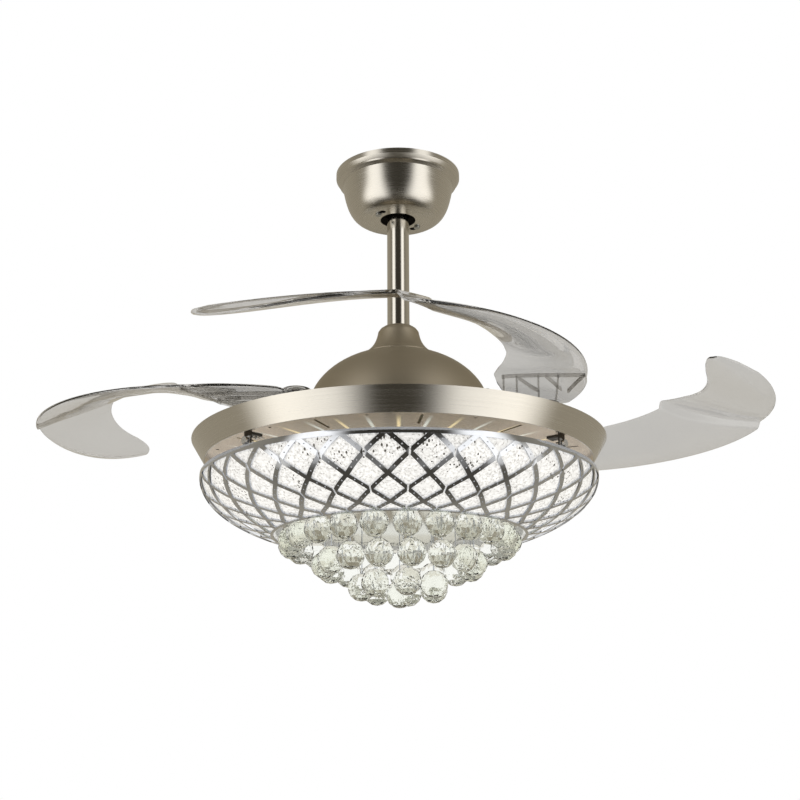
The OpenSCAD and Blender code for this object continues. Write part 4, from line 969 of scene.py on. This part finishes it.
class FAN_OT_clip_springs(bpy.types.Operator):
    """Adds the small wire springs beside the shade's clips"""
    bl_idname = "fan.clip_springs"
    bl_label = "Clip springs"

    def execute(self, context):
        for number, turn in enumerate(CLIP_TURNS):
            # the wire swings up and down three times beside the clip, less and less
            path = []
            for i in range(61):
                t = i / 60
                path.append((CLIP_R - 1 - 3 * t, 7 + 17 * t,
                             PLATE_LOW - 5.5 - 3 * t + 2.2 * math.sin(t * 6 * math.pi) * (1 - t)))
            wire = bpy.data.curves.new("clip_spring_%d" % (number + 1), "CURVE")
            wire.dimensions = "3D"
            wire.bevel_depth = 0.5 * MM
            wire.bevel_resolution = 3
            wire.use_fill_caps = True
            line = wire.splines.new("POLY")
            line.points.add(len(path) - 1)
            for spot, (x, y, z) in zip(line.points, turned_about_axis(path, turn - 90)):
                spot.co = (x * MM, y * MM, (z + LAMP_Z) * MM, 1)
            wire.materials.append(bright_steel())
            piece = add_object(wire.name, wire)
            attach(piece, "hanger")
        return {"FINISHED"}


# ---- Crystals ----

# Radius, height and number of each ring of balls, and the turn of its first ball
TIERS = [("outer_crystals", 124, -116, 22, 4), ("middle_crystals", 85, -141, 15, 9),
         ("inner_crystals", 43, -166, 7, 12), ("centre_crystal", 0, -174, 1, 0)]
# Latitude and number of the corners in each row of a cut ball, and their turn as a share of a step
CUTS = [(90, 1, 0), (64, 8, 0), (38, 12, 0.5), (12.5, 16, 0), (-12.5, 16, 0.5), (-38, 12, 0),
        (-64, 8, 0.5), (-90, 1, 0)]


def cut_ball(radius):
    """Points and flat faces of a ball cut in staggered rows of facets."""
    ball = bmesh.new()
    for latitude, count, shift in CUTS:
        b = math.radians(latitude)
        for i in range(count):
            a = 2 * math.pi * (i + shift) / count
            ball.verts.new((radius * math.cos(b) * math.cos(a), radius * math.cos(b) * math.sin(a),
                            radius * math.sin(b)))
    bmesh.ops.convex_hull(ball, input=ball.verts)
    bmesh.ops.dissolve_limit(ball, angle_limit=math.radians(1), verts=ball.verts, edges=ball.edges)
    ball.verts.index_update()
    points = [tuple(v.co) for v in ball.verts]
    faces = [tuple(v.index for v in f.verts) for f in ball.faces]
    ball.free()
    return points, faces


class FAN_OT_crystals(bpy.types.Operator):
    """Builds the cut crystal balls of each tier"""
    bl_idname = "fan.crystals"
    bl_label = "Crystals"

    def execute(self, context):
        settings = context.scene.fan_crystals
        glass = cut_crystal(settings.tint)
        ball_points, ball_faces = cut_ball(settings.radius / MM)
        for node, ring_r, ring_z, count, first in TIERS:
            parts = []
            for i in range(count):
                a = math.radians(first - 90 + 360 * i / count)
                # each ball hangs turned by its own amount
                ball = [(ring_r * math.cos(a) + x, ring_r * math.sin(a) + y, ring_z + z)
                        for x, y, z in turned_about_axis(ball_points, 37 * i + 11 * ring_r)]
                parts.append((ball, ball_faces))
            points, faces = join_meshes(parts)
            make_piece("cut_" + node, points, faces, glass, "hanger", node, crease=0)
        return {"FINISHED"}


# ---- Metalwork and hidden parts ----

class FAN_OT_metalwork(bpy.types.Operator):
    """Finishes the canopy, rod, covers, ring and plates"""
    bl_idname = "fan.metalwork"
    bl_label = "Metalwork"

    def execute(self, context):
        nickel = context.scene.fan_metal.nickel
        # steel spun on a lathe and nickel plated: long soft streaks up and down the cup
        spun = turned_metal("spun_nickel", nickel, 0.27, across_mm=0.7, round_count=3, drawn=0.6)
        # painted shade on the cup's inward faces, dark and dull
        paint_shade_inside(spun, linear("#3A3734"))
        # satin nickel of a browner tone: wide, dull streaks over the bell and the dome
        browner = [c * k for c, k in zip(nickel, (0.84, 0.78, 0.67))]
        covers = turned_metal("satin_nickel_covers", browner, 0.6, across_mm=0.8, round_count=3, drawn=0.4)
        # tube drawn and polished: one narrow upright light
        tube = turned_metal("drawn_tube", nickel, 0.16, across_mm=0.6, round_count=4, drawn=0.45)
        # belt-brushed along the band, so the lines run level
        band = turned_metal("brushed_band", nickel, 0.24, across_mm=0.35, round_count=14, spread=0.16,
                            relief_mm=0.006, drawn=0.65)
        # a plate polished almost to a mirror: it shows the bowl and the crystals, softly
        polished = turned_metal("polished_plate", linear("#D6D6D0"), 0.1, across_mm=1.2, round_count=2,
                                spread=0.05, relief_mm=0.001, drawn=0.3)
        finish_nodes(spun, "canopy")
        finish_nodes(covers, "coupling_cover", "motor_cover")
        finish_nodes(tube, "downrod")
        finish_nodes(band, "ring_band")
        finish_nodes(glinting_plate(context.scene.fan_metal.champagne), "under_plate")
        finish_nodes(polished, "crystal_plate")
        finish_nodes(chrome_plate(), "crystal_wires")
        finish_nodes(bright_steel(), "shade_screws", "hanger_pin", "yoke_pin", "lamp_standoffs",
                     "motor_shaft", "rotor_bearings", "pivot_pins", "return_springs")
        return {"FINISHED"}


class FAN_OT_hidden_parts(bpy.types.Operator):
    """Finishes the bracket, hanger, motor, tray and lamp parts"""
    bl_idname = "fan.hidden_parts"
    bl_label = "Bracket, motor and lamp parts"

    def execute(self, context):
        # zinc plated steel: pale grey with a soft shine
        zinc = plain_metal("zinc_plate", linear("#B9BBBA"), 0.38)
        # steel plate passivated dark: a dull brown grey
        bracket = plain_metal("passivated_steel", linear("#6E6A62"), 0.5)
        # blackened steel: nearly black, with a satin shine
        blackened = plain_metal("blackened_steel", linear("#4A4845"), 0.45)
        # aluminium die casting: pale and dull, in wider spots
        alloy = plain_metal("cast_alloy", linear("#B4B5B4"), 0.5, spot_mm=4)
        # steel pressed and turned clean: grey with rings round the axis
        tray = turned_metal("pressed_tray", linear("#A9A7A1"), 0.42, across_mm=1.0, round_count=6)
        # nylon moulded with a fine grain: black with a soft shine
        nylon = moulded("black_nylon", linear("#26262A"), 0.45)
        # rubber moulded matt: black with hardly a shine
        rubber = moulded("buffer_rubber", linear("#1C1C1C"), 0.8)
        # steel sprayed with enamel: white and smooth
        enamel = moulded("white_enamel", linear("#ECEBE8"), 0.35, grit_mm=1.2, relief_mm=0.01)
        # steel sheets stacked and pressed: fine level lines round the core
        laminations = turned_metal("core_laminations", linear("#77777A"), 0.5, round_count=1)
        # enamelled copper wire wound in layers: red brown lines with a shine
        copper = turned_metal("enamelled_copper", linear("#B5673A"), 0.3, across_mm=0.8, round_count=1)
        # ferrite pressed and sintered: dark grey, half metallic
        magnet = moulded("sintered_magnet", linear("#2C2C2F"), 0.55, metallic=0.4)
        finish_nodes(bracket, "ceiling_bracket")
        finish_nodes(nylon, "ball_seat", "remote_receiver", "hanger_ball", "sync_gear",
                     *["blade_hub_%d" % k for k in range(1, 5)])
        finish_nodes(blackened, "motor_yoke", "shade_brackets")
        finish_nodes(zinc, "canopy_screws", "yoke_set_screws", "cover_screws", "shaft_nuts", "band_screws",
                     "tray_screws", "pivot_nuts", *["hub_screws_%d" % k for k in range(1, 5)])
        finish_nodes(alloy, "rotor_shell", "rotor_base")
        finish_nodes(tray, "blade_tray")
        finish_nodes(rubber, "stop_buffers")
        finish_nodes(enamel, "lamp_pan", "led_driver", "led_board")
        finish_nodes(laminations, "stator_core")
        finish_nodes(copper, "stator_windings")
        finish_nodes(magnet, "rotor_magnets")
        finish_nodes(led_chip(), "led_chips")
        return {"FINISHED"}


# ---- Stage ----

# The camera's place in metres, and its tilt up and roll in radians
CAMERA_AT = (0.0014, -1.5391, -0.7546)
CAMERA_TILT = 0.293
CAMERA_ROLL = -0.005
# Height of the floor and half its width, in metres
FLOOR_Z = -2.6
FLOOR_HALF = 8


class FAN_OT_stage(bpy.types.Operator):
    """Sets up the camera, the studio light, the floor and the backdrop"""
    bl_idname = "fan.stage"
    bl_label = "Stage"

    def execute(self, context):
        scene = context.scene
        settings = scene.fan_stage
        scene.view_settings.view_transform = "Standard"

        lens = bpy.data.cameras.new("photo_camera")
        lens.lens = settings.lens
        lens.sensor_width = 36
        scene.camera = add_object("photo_camera", lens)
        scene.camera.matrix_world = (Matrix.Translation(CAMERA_AT)
                                     @ Matrix.Rotation(math.pi / 2 + CAMERA_TILT, 4, "X")
                                     @ Matrix.Rotation(CAMERA_ROLL, 4, "Z"))

        floor_mesh = bpy.data.meshes.new("floor")
        corners = [(x * FLOOR_HALF, y * FLOOR_HALF, FLOOR_Z) for x, y in ((-1, -1), (1, -1), (1, 1), (-1, 1))]
        floor_mesh.from_pydata(corners, [], [(0, 1, 2, 3)])
        floor_mesh.materials.append(self.pale_floor(settings.backdrop))
        floor = add_object("floor", floor_mesh)
        floor.visible_glossy = False

        self.studio_world(scene, settings.backdrop)
        return {"FINISHED"}

    def pale_floor(self, backdrop):
        """Matt floor paint, with faint clouds a third of a metre wide."""
        paint, tree, shader = new_material("pale_floor")
        place = add_node(tree, "ShaderNodeTexCoord").outputs["Object"]
        cloud = add_node(tree, "ShaderNodeTexNoise", Vector=place, Scale=1000 / 333.3)
        tone = add_node(tree, "ShaderNodeMix", {"data_type": "RGBA"}, in0=cloud.outputs["Fac"],
                        in6=colour4(linear("#F4F4F3")), in7=colour4(backdrop))
        # lit from within like a light table, so it stays pale under the dim room
        fill_inputs(tree, shader, Base_Color=tone.outputs[2], Emission_Color=tone.outputs[2],
                    Emission_Strength=0.5, Roughness=0.8)
        return paint

    def studio_world(self, scene, backdrop):
        """A white backdrop to the eye and through clear sheets. Reflections see a dim room with a tall
        soft light at each side of the camera."""
        world = bpy.data.worlds.new("studio")
        scene.world = world
        world.use_nodes = True
        tree = world.node_tree
        tree.nodes.clear()
        place = add_node(tree, "ShaderNodeTexCoord")
        parts = add_node(tree, "ShaderNodeSeparateXYZ", Vector=place.outputs["Generated"])
        height = parts.outputs["Z"]
        # turn of the direction about the vertical, with the camera's side at 0
        forward = add_node(tree, "ShaderNodeMath", {"operation": "MULTIPLY"}, in0=parts.outputs["Y"],
                           in1=-1.0)
        turn = add_node(tree, "ShaderNodeMath", {"operation": "ARCTAN2"}, in0=parts.outputs["X"],
                        in1=forward.outputs[0])
        aside = add_node(tree, "ShaderNodeMath", {"operation": "ABSOLUTE"}, in0=turn.outputs[0]).outputs[0]

        # what goes smoothly from one value to another between two heights: how much of the room is its
        # ceiling or its ground, how bright the lights are near their top and their foot, and the turn
        # of a light's middle with the half widths of its soft edge, as they widen downwards
        bands = {"ceiling": (0.48, 0.78, 0.0, 1.0), "ground": (-0.6, -0.9, 0.0, 1.0),
                 "top": (0.48, 0.75, 1.0, 0.0), "foot": (-0.9, -0.62, 0.12, 1.0),
                 "middle": (-0.5, 0.25, math.radians(58), math.radians(47)),
                 "outer": (-0.5, 0.25, math.radians(46), math.radians(22)),
                 "inner": (-0.5, 0.25, math.radians(16), math.radians(7))}
        at = {}
        for name, (low, high, at_low, at_high) in bands.items():
            at[name] = add_node(tree, "ShaderNodeMapRange", {"interpolation_type": "SMOOTHSTEP"}, in0=height,
                                in1=low, in2=high, in3=at_low, in4=at_high).outputs[0]

        # the room: dark in front, where the camera stands, and underneath, paler at the sides and behind
        room = add_node(tree, "ShaderNodeMapRange", {"interpolation_type": "SMOOTHSTEP"}, in0=aside,
                        in1=math.radians(12), in2=math.radians(115), in3=0.05, in4=0.42).outputs[0]
        for share, strength in ((at["ceiling"], 0.24), (at["ground"], 0.09)):
            room = add_node(tree, "ShaderNodeMix", {"data_type": "FLOAT"}, in0=share, in2=room,
                            in3=strength).outputs[0]

        # the lights: full inside their inner half width, gone outside the outer one
        across = add_node(tree, "ShaderNodeMath", {"operation": "SUBTRACT"}, in0=aside, in1=at["middle"])
        away = add_node(tree, "ShaderNodeMath", {"operation": "ABSOLUTE"}, in0=across.outputs[0])
        lights = add_node(tree, "ShaderNodeMapRange", {"interpolation_type": "SMOOTHSTEP"},
                          in0=away.outputs[0], in1=at["outer"], in2=at["inner"], in3=0.0, in4=1.5).outputs[0]
        for share in (at["top"], at["foot"]):
            lights = add_node(tree, "ShaderNodeMath", {"operation": "MULTIPLY"}, in0=lights,
                              in1=share).outputs[0]

        dim = add_node(tree, "ShaderNodeBackground", Color=colour4(linear("#FFF5DF")), Strength=room)
        soft = add_node(tree, "ShaderNodeBackground", Color=colour4(linear("#FFFEFC")), Strength=lights)
        studio = add_node(tree, "ShaderNodeAddShader", in0=dim.outputs[0], in1=soft.outputs[0])
        plain = add_node(tree, "ShaderNodeBackground", Color=colour4(backdrop), Strength=1.0)
        rays = add_node(tree, "ShaderNodeLightPath")
        seen = add_node(tree, "ShaderNodeMath", {"operation": "MAXIMUM"},
                        in0=rays.outputs["Is Camera Ray"], in1=rays.outputs["Is Transmission Ray"])
        both = add_node(tree, "ShaderNodeMixShader", in0=seen.outputs[0], in1=studio.outputs[0],
                        in2=plain.outputs[0])
        add_node(tree, "ShaderNodeOutputWorld", Surface=both.outputs[0])


# ---- Panel and registration ----

STEPS = [FAN_OT_stage, FAN_OT_metalwork, FAN_OT_hidden_parts, FAN_OT_blades, FAN_OT_bowl, FAN_OT_lattice,
         FAN_OT_clip_springs, FAN_OT_crystals]
SETTINGS = {"fan_blades": BladeSettings, "fan_bowl": BowlSettings, "fan_crystals": CrystalSettings,
            "fan_metal": MetalSettings, "fan_stage": StageSettings}


class FAN_PT_dressing(bpy.types.Panel):
    """Lists the fan's pieces and their settings"""
    bl_idname = "FAN_PT_dressing"
    bl_label = "Ceiling fan"
    bl_space_type = "VIEW_3D"
    bl_region_type = "UI"
    bl_category = "Fan"

    def draw(self, context):
        for step in STEPS:
            self.layout.operator(step.bl_idname)
        for name in SETTINGS:
            group = getattr(context.scene, name)
            for key in group.bl_rna.properties.keys():
                if key not in ("rna_type", "name"):
                    self.layout.prop(group, key)


def register():
    for group in SETTINGS.values():
        bpy.utils.register_class(group)
    for step in STEPS:
        bpy.utils.register_class(step)
    bpy.utils.register_class(FAN_PT_dressing)
    for name, group in SETTINGS.items():
        setattr(bpy.types.Scene, name, bpy.props.PointerProperty(type=group))


def unregister():
    for name in SETTINGS:
        delattr(bpy.types.Scene, name)
    bpy.utils.unregister_class(FAN_PT_dressing)
    for step in reversed(STEPS):
        bpy.utils.unregister_class(step)
    for group in SETTINGS.values():
        bpy.utils.unregister_class(group)


def main():
    register()
    for step in STEPS:
        family, name = step.bl_idname.split(".")
        getattr(getattr(bpy.ops, family), name)()


if __name__ == "__main__":
    main()
